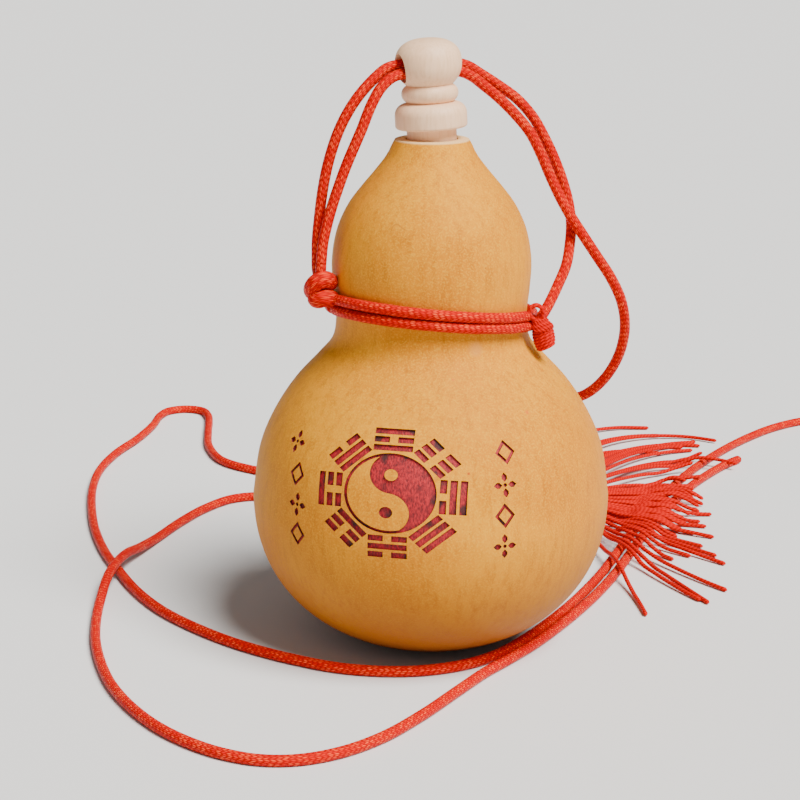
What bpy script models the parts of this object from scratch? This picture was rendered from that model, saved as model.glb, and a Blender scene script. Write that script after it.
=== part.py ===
"""A dried bottle gourd made into a stoppered flask, with its red carrying cord and tassel.

The gourd stands on a small flat foot at the origin, axis along +Z, its engraved face to -Y.
It is one hollow shell. A turned wooden stopper leans in its bored mouth. Two red cords tie
the stopper to the waist, and a strap and a tassel hang from the knot behind the waist.
Run it with: blender --background --python part.py
"""

import math
import random

import bmesh
import bpy
from mathutils import Matrix, Vector

MM = 0.001
GAP = 0.3

# Gourd, millimetres: radius and height down its outer side, from the rim to its widest ring
UPPER_OUTLINE = [
    (8.6, 119.8), (10.3, 116.2), (13.1, 112.5), (16.2, 108.8), (19.2, 104.8), (21.8, 99.2),
    (23.1, 92.0), (22.8, 85.2), (22.2, 78.8), (23.1, 73.3), (26.6, 69.0), (32.2, 62.9),
    (37.0, 55.6), (40.4, 47.6), (42.2, 36.2),
]
BELLY_RADIUS = 42.2
BELLY_HEIGHT = 36.2
BELLY_DEPTH = 37.1
BELLY_ROUNDNESS = 2.2
BELLY_RINGS = 9
WALL = 3.0
NECK_RADIUS = 4.4
GOURD_STEPS = 48
OUTLINE_STEP = 6.0
HOLLOW_STEP = 10.0

# Stopper: its lean to the left, and radius and height in its own frame, rim of the mouth at 0
MOUTH_HEIGHT = 119.8
STOPPER_LEAN = math.radians(3.0)
BORE_RADIUS = 6.0
BORE_DEPTH = 18.0
BORE_ABOVE = 8.0
SHANK_RADIUS = 5.7
SHANK_DEPTH = 12.0
COLLAR_RADIUS = 8.25
COLLAR_ROUND = 2.6
EDGE = 0.7
BEAD_RADIUS = 6.5
BALL_RADIUS = 7.6
BALL_CENTRE = 16.9
BALL_UP = 5.8
BALL_DOWN = 6.45
BALL_ROUNDNESS = 2.2
COLLAR_BOTTOM = 2.5
COLLAR_TOP = 8.2
BEAD_TOP = 12.4
HOLE_RADIUS = 3.2
HOLE_HEIGHT = 15.9
HOLE_TURN = math.radians(20.0)
HOLE_LENGTH = 30.0
HOLE_OFFSET = -0.85
STOPPER_STEPS = 24

# Engraving: depth below the skin, the round sign's half sizes, and where it is centred
RECESS = 0.5
SIGN_AZIMUTH = math.radians(-14.0)
SIGN_HEIGHT = 47.4
SIGN_HALF_WIDTH = 10.45
SIGN_HALF_HEIGHT = 8.8
RING_LINE = 0.07
EYE_RADIUS = 0.144
STAMP_REACH = 6.0
CURVE_TURN = math.radians(-6.0)
BAR_RADII = (1.13, 1.335, 1.54)
BAR_THICKNESS = 0.145
BAR_HALF_LENGTH = 0.425
BAR_BREAK = 0.09
# Eight signs clockwise from the top, each line from the ring outwards, 1 whole and 0 broken
EIGHT_SIGNS = ((1, 0, 1), (0, 0, 0), (0, 1, 1), (1, 1, 1), (0, 1, 0), (1, 0, 0), (0, 0, 1), (1, 1, 0))
MARK_COLUMNS = (
    (-30.4, (54.4, 48.0, 41.4, 34.8)),
    (15.8, (55.2, 48.6, 42.0, 35.2)),
)

# Cord: a satin knotting cord, and the band of two strands round the waist
CORD_DIAMETER = 2.5
CORD_RADIUS = CORD_DIAMETER / 2
CORD_STEP = 6.0
LONG_TAIL_STEP = 11.6
SHORT_TAIL_STEP = 8.2
# Each radian of bend counts as this many more millimetres when a route's points are shared out
BEND_SHARE = 10.0
BAND_LIFT = CORD_RADIUS + 0.4
BAND_SKIN_STEP = 1.5
BAND_HEIGHT = 80.2
BAND_RISE_RIGHT = -2.2
BAND_RISE_BACK = -2.6
BAND_HALF_SPACING = 1.56
BAND_FRONT = (-153.0, -25.0)
BAND_BACK = (-10.0, 189.0)
BAND_POINTS_PER_TURN = 36

LEFT_KNOT = (-25.9, -8.3, 86.7)
RIGHT_KNOT = (25.5, -8.0, 76.3)
BACK_KNOT = (0.0, 29.3, 75.5)
WHIPPING_RADIUS = 2.75
WHIPPING_HALF = 4.2
WHIPPING_TURNS = 6
WHIPPING_GROOVE = 0.22

TETHER_OUTER = [
    (-26.3, -6.6, 92.5), (-26.2, -6.3, 97.4), (-25.7, -6.1, 102.3), (-25.0, -6.0, 107.7),
    (-24.0, -6.0, 113.0), (-22.8, -6.1, 117.5), (-21.2, -6.1, 122.0), (-19.0, -5.9, 126.4),
    (-16.4, -5.3, 130.2), (-13.2, -3.9, 133.6), (-10.4, -2.45, 135.8), (-7.8, -1.35, 136.5),
    (-1.24, 1.12, 136.55), (5.3, 3.5, 136.5), (8.2, 4.8, 135.7),
    (11.2, 6.1, 133.8), (15.2, 6.9, 131.2), (19.6, 7.2, 128.0), (23.4, 7.0, 123.8), (26.2, 6.5, 119.0),
    (28.6, 6.0, 114.0), (30.5, 5.2, 109.0), (31.9, 4.4, 103.9), (32.4, 2.9, 99.4), (32.0, 0.8, 95.0),
    (31.1, -1.4, 90.7), (29.1, -3.6, 86.4), (27.0, -5.9, 82.6), (25.8, -7.2, 80.8),
]
TETHER_INNER = [
    (-25.2, -9.6, 92.7), (-24.7, -9.4, 97.4), (-23.7, -9.1, 101.8), (-22.5, -8.8, 106.0),
    (-21.2, -8.6, 109.8), (-19.9, -8.4, 113.4), (-18.6, -8.2, 116.6), (-17.2, -8.0, 119.8),
    (-15.8, -7.7, 123.0), (-14.6, -7.3, 126.1), (-13.3, -6.8, 129.0), (-11.6, -6.0, 131.8),
    (-9.2, -4.7, 133.95), (-6.2, -3.25, 134.8), (-0.46, -1.14, 134.85), (6.1, 1.25, 134.85),
    (9.0, 2.7, 133.6), (11.8, 3.9, 131.4), (15.1, 4.4, 128.7), (19.2, 4.4, 124.7), (22.6, 4.1, 120.6),
    (25.0, 3.5, 116.1), (27.2, 2.6, 111.1), (29.4, 1.4, 106.5), (31.7, 0.1, 102.4), (34.6, -0.4, 98.0),
    (38.4, 0.8, 92.3), (42.0, 2.6, 86.8), (44.9, 5.2, 80.6), (46.2, 8.4, 73.6), (45.4, 11.6, 66.4),
    (42.6, 14.8, 59.8), (38.4, 19.4, 54.4), (32.8, 26.6, 51.0), (26.2, 33.4, 50.6), (19.2, 37.4, 53.2),
    (13.0, 37.6, 59.0), (8.4, 34.8, 66.0), (5.9, 31.6, 71.6),
]
STRAP_LONG_TAIL = [
    (-2.0, 30.8, 70.2), (-3.4, 33.8, 66.0), (-5.0, 38.2, 60.0), (-6.4, 42.2, 51.5), (-7.2, 44.6, 42.5),
    (-7.6, 45.4, 33.0), (-8.0, 46.6, 22.0), (-8.2, 50.6, 11.5), (-8.6, 59.0, 4.4), (-10.4, 74.0, 1.5),
    (-15.0, 92.0, 1.3), (-24.0, 109.0, 1.3), (-37.0, 121.5, 1.3), (-51.5, 129.0, 1.3),
    (-62.0, 138.5, 1.3), (-67.8, 154.0, 1.3), (-69.8, 171.0, 1.3), (-70.6, 183.0, 1.3),
    (-71.8, 192.0, 1.3), (-74.2, 197.6, 1.3), (-79.8, 200.0, 1.3), (-85.4, 197.6, 1.3),
    (-87.8, 191.6, 1.3), (-88.8, 180.0, 1.3), (-91.8, 164.0, 1.3), (-96.6, 147.0, 1.3),
    (-99.0, 130.0, 1.3), (-98.6, 112.0, 1.3), (-96.0, 92.0, 1.3), (-92.0, 72.0, 1.3),
    (-86.8, 54.0, 1.3), (-80.6, 38.0, 1.3), (-74.0, 23.0, 1.3), (-66.4, 10.0, 1.3),
    (-57.0, -1.5, 1.3), (-46.0, -12.0, 1.3), (-33.0, -21.0, 1.3), (-19.0, -27.4, 1.3),
    (-4.0, -28.6, 1.3), (8.0, -24.6, 1.3), (15.6, -18.4, 1.3), (22.0, -9.8, 1.3), (28.0, 0.2, 1.3),
    (33.8, 11.0, 1.3), (39.6, 23.2, 1.3), (45.2, 36.6, 1.3), (50.4, 51.0, 1.3), (55.4, 65.4, 1.3),
    (61.2, 81.0, 1.3), (68.0, 98.4, 1.3), (76.0, 117.0, 1.3), (85.0, 134.6, 1.3), (95.0, 151.0, 1.3),
    (105.4, 165.4, 1.3), (115.8, 177.0, 1.3), (126.0, 184.6, 1.3), (138.0, 189.4, 1.3),
    (151.0, 190.6, 1.3), (164.0, 188.0, 1.3), (176.0, 182.6, 1.3),
]
STRAP_SHORT_TAIL = [
    (-5.3, 31.0, 72.4), (-8.4, 34.2, 67.0), (-12.2, 38.4, 59.5), (-15.8, 41.4, 50.5),
    (-18.6, 43.0, 40.0), (-20.6, 44.4, 29.0), (-22.0, 47.0, 17.5), (-23.4, 52.4, 8.2), (-25.6, 61.4, 2.9),
    (-29.0, 73.0, 1.4), (-34.0, 85.6, 1.3), (-40.4, 96.4, 1.3), (-48.0, 102.6, 1.3), (-56.0, 100.6, 1.3),
    (-63.0, 92.0, 1.3), (-69.0, 79.4, 1.3), (-74.0, 65.6, 1.3), (-77.2, 54.6, 2.4), (-79.6, 45.4, 3.9),
    (-81.2, 36.2, 4.4), (-82.2, 27.0, 3.9), (-82.4, 17.6, 2.4), (-82.0, 6.4, 1.3), (-80.0, -9.4, 1.3),
    (-76.6, -24.0, 1.3), (-72.0, -37.6, 1.3), (-66.0, -49.6, 1.3), (-59.0, -59.8, 1.3),
    (-51.6, -67.4, 1.3), (-44.0, -72.8, 1.3), (-36.0, -75.8, 1.3), (-28.0, -75.6, 1.3),
    (-19.6, -72.0, 1.3), (-11.0, -64.6, 1.3), (-2.4, -53.0, 1.3), (5.6, -40.0, 1.3), (12.2, -29.4, 1.3),
    (18.4, -21.0, 1.3), (24.8, -11.8, 1.3), (30.8, -1.6, 1.3), (36.8, 9.6, 1.3), (42.8, 22.0, 1.3),
    (48.4, 35.4, 1.3), (53.6, 49.8, 1.3), (58.6, 64.2, 1.3), (64.6, 79.6, 1.3), (71.8, 97.0, 1.3),
    (80.2, 114.4, 1.3), (87.4, 126.6, 1.3), (93.0, 134.8, 1.3), (98.4, 141.0, 1.3),
]
TASSEL_CORD = [
    (1.3, 31.2, 70.2), (1.8, 34.8, 65.4), (2.8, 40.0, 58.0), (4.0, 43.4, 49.5), (5.4, 45.0, 40.0),
    (7.2, 46.4, 30.0), (9.2, 49.6, 20.0), (11.2, 56.4, 11.0), (13.4, 66.0, 5.8), (16.4, 76.4, 4.3),
    (20.8, 84.2, 4.4), (27.4, 88.0, 4.6),
]

# Tassel: the bound head and the fan of satin threads that lies to the right of the gourd
HEAD_START = 28.0
HEAD_LENGTH = 14.0
HEAD_RADIUS = 4.1
HEAD_NECK = 2.6
HEAD_ROUND = 1.8
HEAD_RIDGES = 6
HEAD_GROOVE = 0.3
HEAD_Y = 88.0
HEAD_Z = 4.6
SKIRT_START = HEAD_START + HEAD_LENGTH + GAP
SKIRT_ROOT_LENGTH = 5.0
SKIRT_ROOT_RADIUS = 3.3
THREAD_RADIUS = 0.55
THREAD_COUNT = 34
THREAD_POINTS = 9
THREAD_FAN = (math.radians(-84.0), math.radians(79.0))
# A thread straight ahead is this long, and one to the side longer, most of all to the back
THREAD_AHEAD = 38.0
THREAD_MORE_FRONT = 44.0
THREAD_MORE_BACK = 66.0
THREAD_LENGTHS = (0.75, 1.08)
THREAD_ARCH = 2.6
THREAD_LIFT = 3.7
THREAD_CLEAR = 12.0
THREAD_SLOPE = 4.0
THREAD_SEED = 11

COLOURS = {
    "gourd": ((0.72, 0.44, 0.18), 0.42),
    "stopper": ((0.84, 0.66, 0.50), 0.6),
    "cord": ((0.72, 0.02, 0.01), 0.45),
    "tassel": ((0.70, 0.04, 0.02), 0.6),
}


def material(name, kind):
    """A plain finish for one piece."""
    colour, roughness = COLOURS[kind]
    mat = bpy.data.materials.new(name)
    mat.use_nodes = True
    shader = mat.node_tree.nodes["Principled BSDF"]
    shader.inputs["Base Color"].default_value = (*colour, 1.0)
    shader.inputs["Roughness"].default_value = roughness
    shader.inputs["Metallic"].default_value = 0.0
    return mat


def place(name, mesh, collection, kind=None, matrix=None):
    """An object for a mesh: a piece with its finish, or a cutter shown as wire."""
    obj = bpy.data.objects.new(name, mesh)
    collection.objects.link(obj)
    if matrix is not None:
        obj.matrix_world = matrix
    if kind is None:
        obj.hide_render = True
        obj.display_type = "WIRE"
    else:
        mesh.materials.append(material(name, kind))
    return obj


def smooth_route(points, step):
    """Points about every step millimetres along one smooth curve, closer together in its bends."""
    knots = [Vector(p) for p in points]
    knots = [knots[0] * 2 - knots[1]] + knots + [knots[-1] * 2 - knots[-2]]
    times = [0.0]
    for a, b in zip(knots, knots[1:]):
        times.append(times[-1] + math.sqrt((b - a).length))
    dense = []
    for i in range(1, len(knots) - 2):
        p0, p1, p2, p3 = knots[i - 1:i + 3]
        t0, t1, t2, t3 = times[i - 1:i + 3]
        for part in range(16):
            t = t1 + (t2 - t1) * part / 16
            a1 = p0 * ((t1 - t) / (t1 - t0)) + p1 * ((t - t0) / (t1 - t0))
            a2 = p1 * ((t2 - t) / (t2 - t1)) + p2 * ((t - t1) / (t2 - t1))
            a3 = p2 * ((t3 - t) / (t3 - t2)) + p3 * ((t - t2) / (t3 - t2))
            b1 = a1 * ((t2 - t) / (t2 - t0)) + a2 * ((t - t0) / (t2 - t0))
            b2 = a2 * ((t3 - t) / (t3 - t1)) + a3 * ((t - t1) / (t3 - t1))
            dense.append(b1 * ((t2 - t) / (t2 - t1)) + b2 * ((t - t1) / (t2 - t1)))
    dense.append(knots[-2])
    lengths = [0.0]
    before = dense[1] - dense[0]
    for a, b in zip(dense, dense[1:]):
        lengths.append(lengths[-1] + (b - a).length + BEND_SHARE * before.angle(b - a))
        before = b - a
    count = max(2, round(lengths[-1] / step))
    even = []
    at = 0
    for i in range(count + 1):
        goal = lengths[-1] * i / count
        while at < len(dense) - 2 and lengths[at + 1] < goal:
            at += 1
        share = (goal - lengths[at]) / (lengths[at + 1] - lengths[at])
        even.append(dense[at].lerp(dense[at + 1], min(share, 1.0)))
    return even


def tube(name, route, radius, collection, kind, sides=2):
    """A round cord with closed ends along the route."""
    curve = bpy.data.curves.new(name, "CURVE")
    curve.dimensions = "3D"
    curve.bevel_depth = radius * MM
    curve.bevel_resolution = sides
    curve.use_fill_caps = True
    spline = curve.splines.new("POLY")
    spline.points.add(len(route) - 1)
    for point, place_mm in zip(spline.points, route):
        point.co = (*(place_mm * MM), 1.0)
    return place(name, curve, collection, kind)


def turned(name, outline, steps, collection, kind=None, matrix=None):
    """A turned solid: an outline of radius and height that runs down its outer side."""
    mesh = bpy.data.meshes.new(name)
    rows = [(radius * MM, 0.0, height * MM) for radius, height in outline]
    mesh.from_pydata(rows, [(i, i + 1) for i in range(len(rows) - 1)], [])
    obj = place(name, mesh, collection, kind, matrix)
    screw = obj.modifiers.new("Turn", "SCREW")
    screw.steps = steps
    screw.render_steps = steps
    screw.use_merge_vertices = True
    screw.merge_threshold = 0.00001
    return obj


def solid_mesh(obj, name):
    """The object's evaluated shape as one welded mesh, in place of the object."""
    bpy.context.view_layer.update()
    seen = obj.evaluated_get(bpy.context.evaluated_depsgraph_get())
    mesh = bpy.data.meshes.new_from_object(seen)
    mesh.name = name
    work = bmesh.new()
    work.from_mesh(mesh)
    bmesh.ops.remove_doubles(work, verts=work.verts, dist=0.000001)
    work.to_mesh(mesh)
    work.free()
    bpy.data.objects.remove(obj)
    return mesh


def stamp(name, outlines, matrix, collection):
    """A straight-sided cutter: flat closed outlines in millimetres, holes inside them."""
    curve = bpy.data.curves.new(name, "CURVE")
    curve.dimensions = "2D"
    curve.fill_mode = "BOTH"
    curve.extrude = STAMP_REACH * MM
    for outline in outlines:
        spline = curve.splines.new("POLY")
        spline.points.add(len(outline) - 1)
        for point, (x, y) in zip(spline.points, outline):
            point.co = (x * MM, y * MM, 0.0, 1.0)
        spline.use_cyclic_u = True
    flat = place(name, curve, collection)
    return place(name, solid_mesh(flat, name), collection, None, matrix)


def cut(obj, cutter, operation="DIFFERENCE"):
    """A Boolean by one object or by all of a collection."""
    modifier = obj.modifiers.new("Cut", "BOOLEAN")
    modifier.operation = operation
    if isinstance(cutter, bpy.types.Collection):
        modifier.operand_type = "COLLECTION"
        modifier.collection = cutter
    else:
        modifier.object = cutter
    return modifier


def arc(radius, start, end, count, centre=(0.0, 0.0)):
    """Points on a circle from one angle to another, in degrees."""
    turns = [math.radians(start + (end - start) * i / (count - 1)) for i in range(count)]
    return [(centre[0] + radius * math.cos(t), centre[1] + radius * math.sin(t)) for t in turns]


def circle(radius, count, centre=(0.0, 0.0)):
    """A closed round outline."""
    return arc(radius, 0.0, 360.0 * (count - 1) / count, count, centre)


# Gourd: the outline of the skin, and of the hollow one wall inside it

def skin_outline(step):
    """Radius and height down the skin, from the rim to the foot."""
    upper = smooth_route([(r, 0.0, z) for r, z in UPPER_OUTLINE], step)
    rows = [(p.x, p.z) for p in upper]
    foot_turn = math.acos((BELLY_HEIGHT / BELLY_DEPTH) ** (BELLY_ROUNDNESS / 2))
    for i in range(1, BELLY_RINGS + 1):
        turn = math.pi / 2 - (math.pi / 2 - foot_turn) * i / BELLY_RINGS
        down = BELLY_DEPTH * math.cos(turn) ** (2 / BELLY_ROUNDNESS)
        out = BELLY_RADIUS * math.sin(turn) ** (2 / BELLY_ROUNDNESS)
        rows.append((out, BELLY_HEIGHT - down))
    return rows


def inset(rows, depth):
    """The same outline moved in by depth, square to itself."""
    moved = []
    for i, (r, z) in enumerate(rows):
        before = Vector(rows[max(i - 1, 0)])
        after = Vector(rows[min(i + 1, len(rows) - 1)])
        run = (after - before).normalized()
        moved.append((r + run.y * depth, z - run.x * depth))
    return moved


def skin_frame(azimuth, height, rows):
    """A flat frame on the skin: X to the right, Y up the skin, Z out of it."""
    for (r0, z0), (r1, z1) in zip(rows, rows[1:]):
        if z1 <= height <= z0:
            radius = r0 + (r1 - r0) * (z0 - height) / (z0 - z1)
            rise = math.atan2(r1 - r0, z0 - z1)
            break
    out = Vector((math.sin(azimuth), -math.cos(azimuth), 0.0))
    normal = out * math.cos(rise) + Vector((0.0, 0.0, math.sin(rise)))
    right = Vector((math.cos(azimuth), math.sin(azimuth), 0.0))
    up = normal.cross(right)
    centre = (out * radius + Vector((0.0, 0.0, height))) * MM
    frame = Matrix((right, up, normal)).transposed().to_4x4()
    return Matrix.Translation(centre) @ frame, radius


def round_sign():
    """Outlines of the two-part round sign, as shares of its half width and height."""
    inner = 1.0 - RING_LINE
    tail = math.degrees(2 * math.acos(inner))
    pale = arc(inner, 90 + tail / 2, 270 + tail / 2, 21)
    pale += arc(0.5, tail - 90, 90, 9, (0.0, -0.5))
    pale += arc(0.5, 270, 90 + tail, 9, (0.0, 0.5))[1:]
    turned_pale = []
    for x, y in pale:
        turned_pale.append((x * math.cos(CURVE_TURN) - y * math.sin(CURVE_TURN),
                            x * math.sin(CURVE_TURN) + y * math.cos(CURVE_TURN)))
    upper_eye = circle(EYE_RADIUS, 12, (0.02, 0.46))
    lower_eye = circle(EYE_RADIUS, 12, (-0.05, -0.48))
    return [circle(1.0, 40), turned_pale, upper_eye], [lower_eye]


def trigram_bars():
    """Outlines of the lines of the eight signs round the ring."""
    bars = []
    for place_number, lines in enumerate(EIGHT_SIGNS):
        out = Vector((0.0, 1.0))
        turn = Matrix.Rotation(-math.pi / 4 * place_number, 2)
        for radius, whole in zip(BAR_RADII, lines):
            ends = [(-BAR_HALF_LENGTH, BAR_HALF_LENGTH)]
            if not whole:
                ends = [(-BAR_HALF_LENGTH, -BAR_BREAK), (BAR_BREAK, BAR_HALF_LENGTH)]
            low = radius - BAR_THICKNESS / 2
            for left, right in ends:
                corners = [(left, 0.0), (right, 0.0), (right, BAR_THICKNESS), (left, BAR_THICKNESS)]
                bars.append([turn @ (Vector(c) + out * low) for c in corners])
    return bars


def flower_mark():
    """Four pointed petals round a dot."""
    outlines = [circle(0.42, 8)]
    for quarter in range(4):
        turn = Matrix.Rotation(math.pi / 2 * quarter, 2)
        side = [(0.0, 0.72), (0.62, 1.35), (0.66, 2.0), (0.0, 2.75), (-0.66, 2.0), (-0.62, 1.35)]
        outlines.append([turn @ Vector(p) for p in side])
    return outlines


def lozenge_mark():
    """A diamond frame."""
    return [[(0.0, 2.8), (2.4, 0.0), (0.0, -2.8), (-2.4, 0.0)],
            [(0.0, 1.75), (1.5, 0.0), (0.0, -1.75), (-1.5, 0.0)]]


def build_gourd(parts, cutters, engraving):
    """The hollow shell, its bored mouth and its shallow engraving."""
    skin = skin_outline(OUTLINE_STEP)
    hollow = [(r, z) for r, z in inset(skin_outline(HOLLOW_STEP), WALL) if r > NECK_RADIUS and z > WALL]
    floor = [(0.0, WALL)]
    neck = [(NECK_RADIUS, MOUTH_HEIGHT)]
    outline = floor + hollow[::-1] + neck + skin + [(0.0, 0.0)]
    gourd = turned("gourd", outline, GOURD_STEPS, parts, "gourd")

    core_rows = inset(skin, RECESS)
    core = turned("recess floor", [(0.0, MOUTH_HEIGHT)] + core_rows + [(0.0, RECESS)],
                  GOURD_STEPS, cutters)
    scale = (SIGN_HALF_WIDTH, SIGN_HALF_HEIGHT)
    sign_frame = skin_frame(SIGN_AZIMUTH, SIGN_HEIGHT, skin)[0]
    field, eye = round_sign()
    groups = [("round sign", field, sign_frame, scale), ("lower eye", eye, sign_frame, scale),
              ("eight signs", trigram_bars(), sign_frame, scale)]
    for column, (across, heights) in enumerate(MARK_COLUMNS):
        for row, height in enumerate(heights):
            radius = skin_frame(0.0, height, skin)[1]
            frame = skin_frame(math.asin(across / radius), height, skin)[0]
            mark = flower_mark() if (row + column) % 2 == 0 else lozenge_mark()
            groups.append((f"mark {column} {row}", mark, frame, (1.0, 1.0)))
    for name, outlines, frame, (wide, high) in groups:
        sized = [[(x * wide, y * high) for x, y in outline] for outline in outlines]
        cutter = stamp(name, sized, frame, engraving)
        cut(cutter, core)

    bore_frame = stopper_frame() @ Matrix.Translation((0.0, 0.0, (BORE_ABOVE - BORE_DEPTH) / 2 * MM))
    bpy.ops.mesh.primitive_cylinder_add(vertices=STOPPER_STEPS, radius=BORE_RADIUS * MM,
                                        depth=(BORE_DEPTH + BORE_ABOVE) * MM)
    bore = take_primitive("mouth bore", cutters, bore_frame)
    cut(gourd, bore)
    cut(gourd, engraving)


def take_primitive(name, collection, matrix):
    """The primitive just added, kept as a cutter in its collection."""
    obj = bpy.context.object
    obj.name = name
    for other in list(obj.users_collection):
        other.objects.unlink(obj)
    collection.objects.link(obj)
    obj.matrix_world = matrix
    obj.hide_render = True
    obj.display_type = "WIRE"
    return obj


# Stopper: shank, collar, bead and ball turned in one, with a hole across the ball

def stopper_frame():
    """The mouth's centre, leaning to the left."""
    lean = Matrix.Rotation(-STOPPER_LEAN, 4, "Y")
    return Matrix.Translation((0.0, 0.0, MOUTH_HEIGHT * MM)) @ lean


def build_stopper(parts, cutters):
    """The stopper in its own frame, then leaned."""
    ball = [(BALL_RADIUS * r ** (2 / BALL_ROUNDNESS), BALL_CENTRE + BALL_UP * z ** (2 / BALL_ROUNDNESS))
            for z, r in arc(1.0, 0.0, 89.0, 7)]
    low_turn = math.degrees(math.asin((BALL_CENTRE - BEAD_TOP) / BALL_DOWN))
    ball += [(BALL_RADIUS * r, BALL_CENTRE - BALL_DOWN * z) for r, z in arc(1.0, 8.0, low_turn, 4)]
    bead_mid = (COLLAR_TOP + BEAD_TOP) / 2
    bead_half = (BEAD_TOP - COLLAR_TOP) / 2
    bead = [(BEAD_RADIUS - bead_half + r, bead_mid + z) for r, z in arc(bead_half, 66, -66, 5)]
    shoulder = [(COLLAR_RADIUS - COLLAR_ROUND + r, COLLAR_TOP - COLLAR_ROUND + z)
                for r, z in arc(COLLAR_ROUND, 90, 0, 4)]
    outline = ball + bead + shoulder
    outline += [(COLLAR_RADIUS, COLLAR_BOTTOM + EDGE), (COLLAR_RADIUS - EDGE, COLLAR_BOTTOM)]
    outline += [(SHANK_RADIUS, COLLAR_BOTTOM), (SHANK_RADIUS, EDGE - SHANK_DEPTH)]
    outline += [(SHANK_RADIUS - EDGE, -SHANK_DEPTH), (0.0, -SHANK_DEPTH)]
    stopper = turned("stopper", outline, STOPPER_STEPS, parts, "stopper", stopper_frame())
    across = Matrix.Rotation(HOLE_TURN, 4, "Z") @ Matrix.Rotation(math.pi / 2, 4, "Y")
    hole_frame = Matrix.Translation(Vector((HOLE_OFFSET, 0.0, MOUTH_HEIGHT + HOLE_HEIGHT)) * MM) @ across
    bpy.ops.mesh.primitive_cylinder_add(vertices=20, radius=HOLE_RADIUS * MM, depth=HOLE_LENGTH * MM)
    cut(stopper, take_primitive("cross hole", cutters, hole_frame))


# Waist: two strands round it, and the three knots on them

def band_route(span, side):
    """One strand of the waist band between two angles, on the skin, above or below the other."""
    start, end = span
    skin = skin_outline(BAND_SKIN_STEP)
    count = round(BAND_POINTS_PER_TURN * (end - start) / 360.0)
    route = []
    for i in range(count + 1):
        turn = math.radians(start + (end - start) * i / count)
        height = BAND_HEIGHT + BAND_RISE_RIGHT * math.cos(turn) + BAND_RISE_BACK * math.sin(turn)
        frame = skin_frame(turn + math.pi / 2, height + side * BAND_HALF_SPACING, skin)[0]
        route.append(frame @ Vector((0.0, 0.0, BAND_LIFT * MM)) / MM)
    return route


def bulge(name, centre, size, collection):
    """A rounded lump of a knot, to be joined to the next."""
    bpy.ops.mesh.primitive_uv_sphere_add(segments=12, ring_count=8, radius=MM)
    matrix = Matrix.Translation(Vector(centre) * MM) @ Matrix.Diagonal((*size, 1.0))
    return take_primitive(name, collection, matrix)


def build_knot(name, lumps, parts):
    """A knot: its turns of cord as overlapping lumps, joined into one solid."""
    turns = bpy.data.collections.new(name + " turns")
    bpy.context.scene.collection.children.link(turns)
    for number, (centre, size) in enumerate(lumps[1:]):
        bulge(f"{name} turn {number}", centre, size, turns)
    first = bulge(name, lumps[0][0], lumps[0][1], parts)
    cut(first, turns, "UNION")
    frame = first.matrix_world.copy()
    knot = place(name, solid_mesh(first, name), parts, "cord", frame)
    knot.name = name
    for obj in list(turns.objects):
        bpy.data.objects.remove(obj)
    bpy.data.collections.remove(turns)


def build_waist(parts):
    """The band and its knots."""
    for where, span in (("front", BAND_FRONT), ("back", BAND_BACK)):
        for level, side in (("upper", 1), ("lower", -1)):
            tube(f"waist_cord_{where}_{level}", band_route(span, side), CORD_RADIUS, parts, "cord")
    x, y, z = LEFT_KNOT
    build_knot("knot_left", [((x, y, z + 2.2), (3.5, 3.5, 3.1)), ((x, y, z - 2.0), (3.9, 3.9, 3.3))],
               parts)
    x, y, z = BACK_KNOT
    build_knot("knot_back", [((x, y, z + 1.3), (4.2, 3.6, 3.3)), ((x, y, z - 1.5), (3.8, 3.6, 3.1))],
               parts)
    spindle = [(0.0, WHIPPING_HALF), (WHIPPING_RADIUS / 2, WHIPPING_HALF - 0.2)]
    for row in range(2 * WHIPPING_TURNS + 1):
        height = (WHIPPING_HALF - 0.9) * (1.0 - row / WHIPPING_TURNS)
        swell = math.sqrt(1.0 - (height / WHIPPING_HALF) ** 2)
        spindle.append((WHIPPING_RADIUS * swell - WHIPPING_GROOVE * (row % 2), height))
    spindle += [(0.8, 0.1 - WHIPPING_HALF), (0.0, -WHIPPING_HALF)]
    turned("knot_right", spindle, 12, parts, "cord", Matrix.Translation(Vector(RIGHT_KNOT) * MM))


# Tassel: a bound head, and threads that fan over the strap and lie on the ground

def thread_route(draw, number, straps):
    """One thread from the head out to its tip, lifted where it passes over the strap."""
    share = (number + 0.5) / THREAD_COUNT
    low, high = THREAD_FAN
    heading = low + (high - low) * share + draw.uniform(-0.05, 0.05)
    more = THREAD_MORE_BACK if heading > 0.0 else THREAD_MORE_FRONT
    length = (THREAD_AHEAD + more * math.sin(heading) ** 2) * draw.uniform(*THREAD_LENGTHS)
    bend = draw.uniform(-0.16, 0.16)
    layer = draw.uniform(0.2, 1.0)
    root = Vector((SKIRT_START + 1.2, HEAD_Y + 2.2 * math.sin(heading), HEAD_Z - 1.0 + 1.6 * layer))
    route = [root]
    at = Vector((root.x, root.y))
    pace = length / (THREAD_POINTS - 1)
    for i in range(1, THREAD_POINTS):
        along = i / (THREAD_POINTS - 1)
        turn = heading * min(1.0, 0.35 + 1.6 * along) + bend * along
        at = at + Vector((math.cos(turn), math.sin(turn))) * pace
        near = min((Vector((p.x, p.y)) - at).length for p in straps)
        over = THREAD_LIFT * min(1.0, max(0.0, (THREAD_CLEAR - near) / THREAD_SLOPE))
        fall = (root.z - THREAD_RADIUS) * (1.0 - along) ** 2
        arch = THREAD_ARCH * layer * along * (1.0 - along)
        route.append(Vector((at.x, at.y, max(THREAD_RADIUS + 0.1 + fall + arch, over))))
    return route


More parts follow.
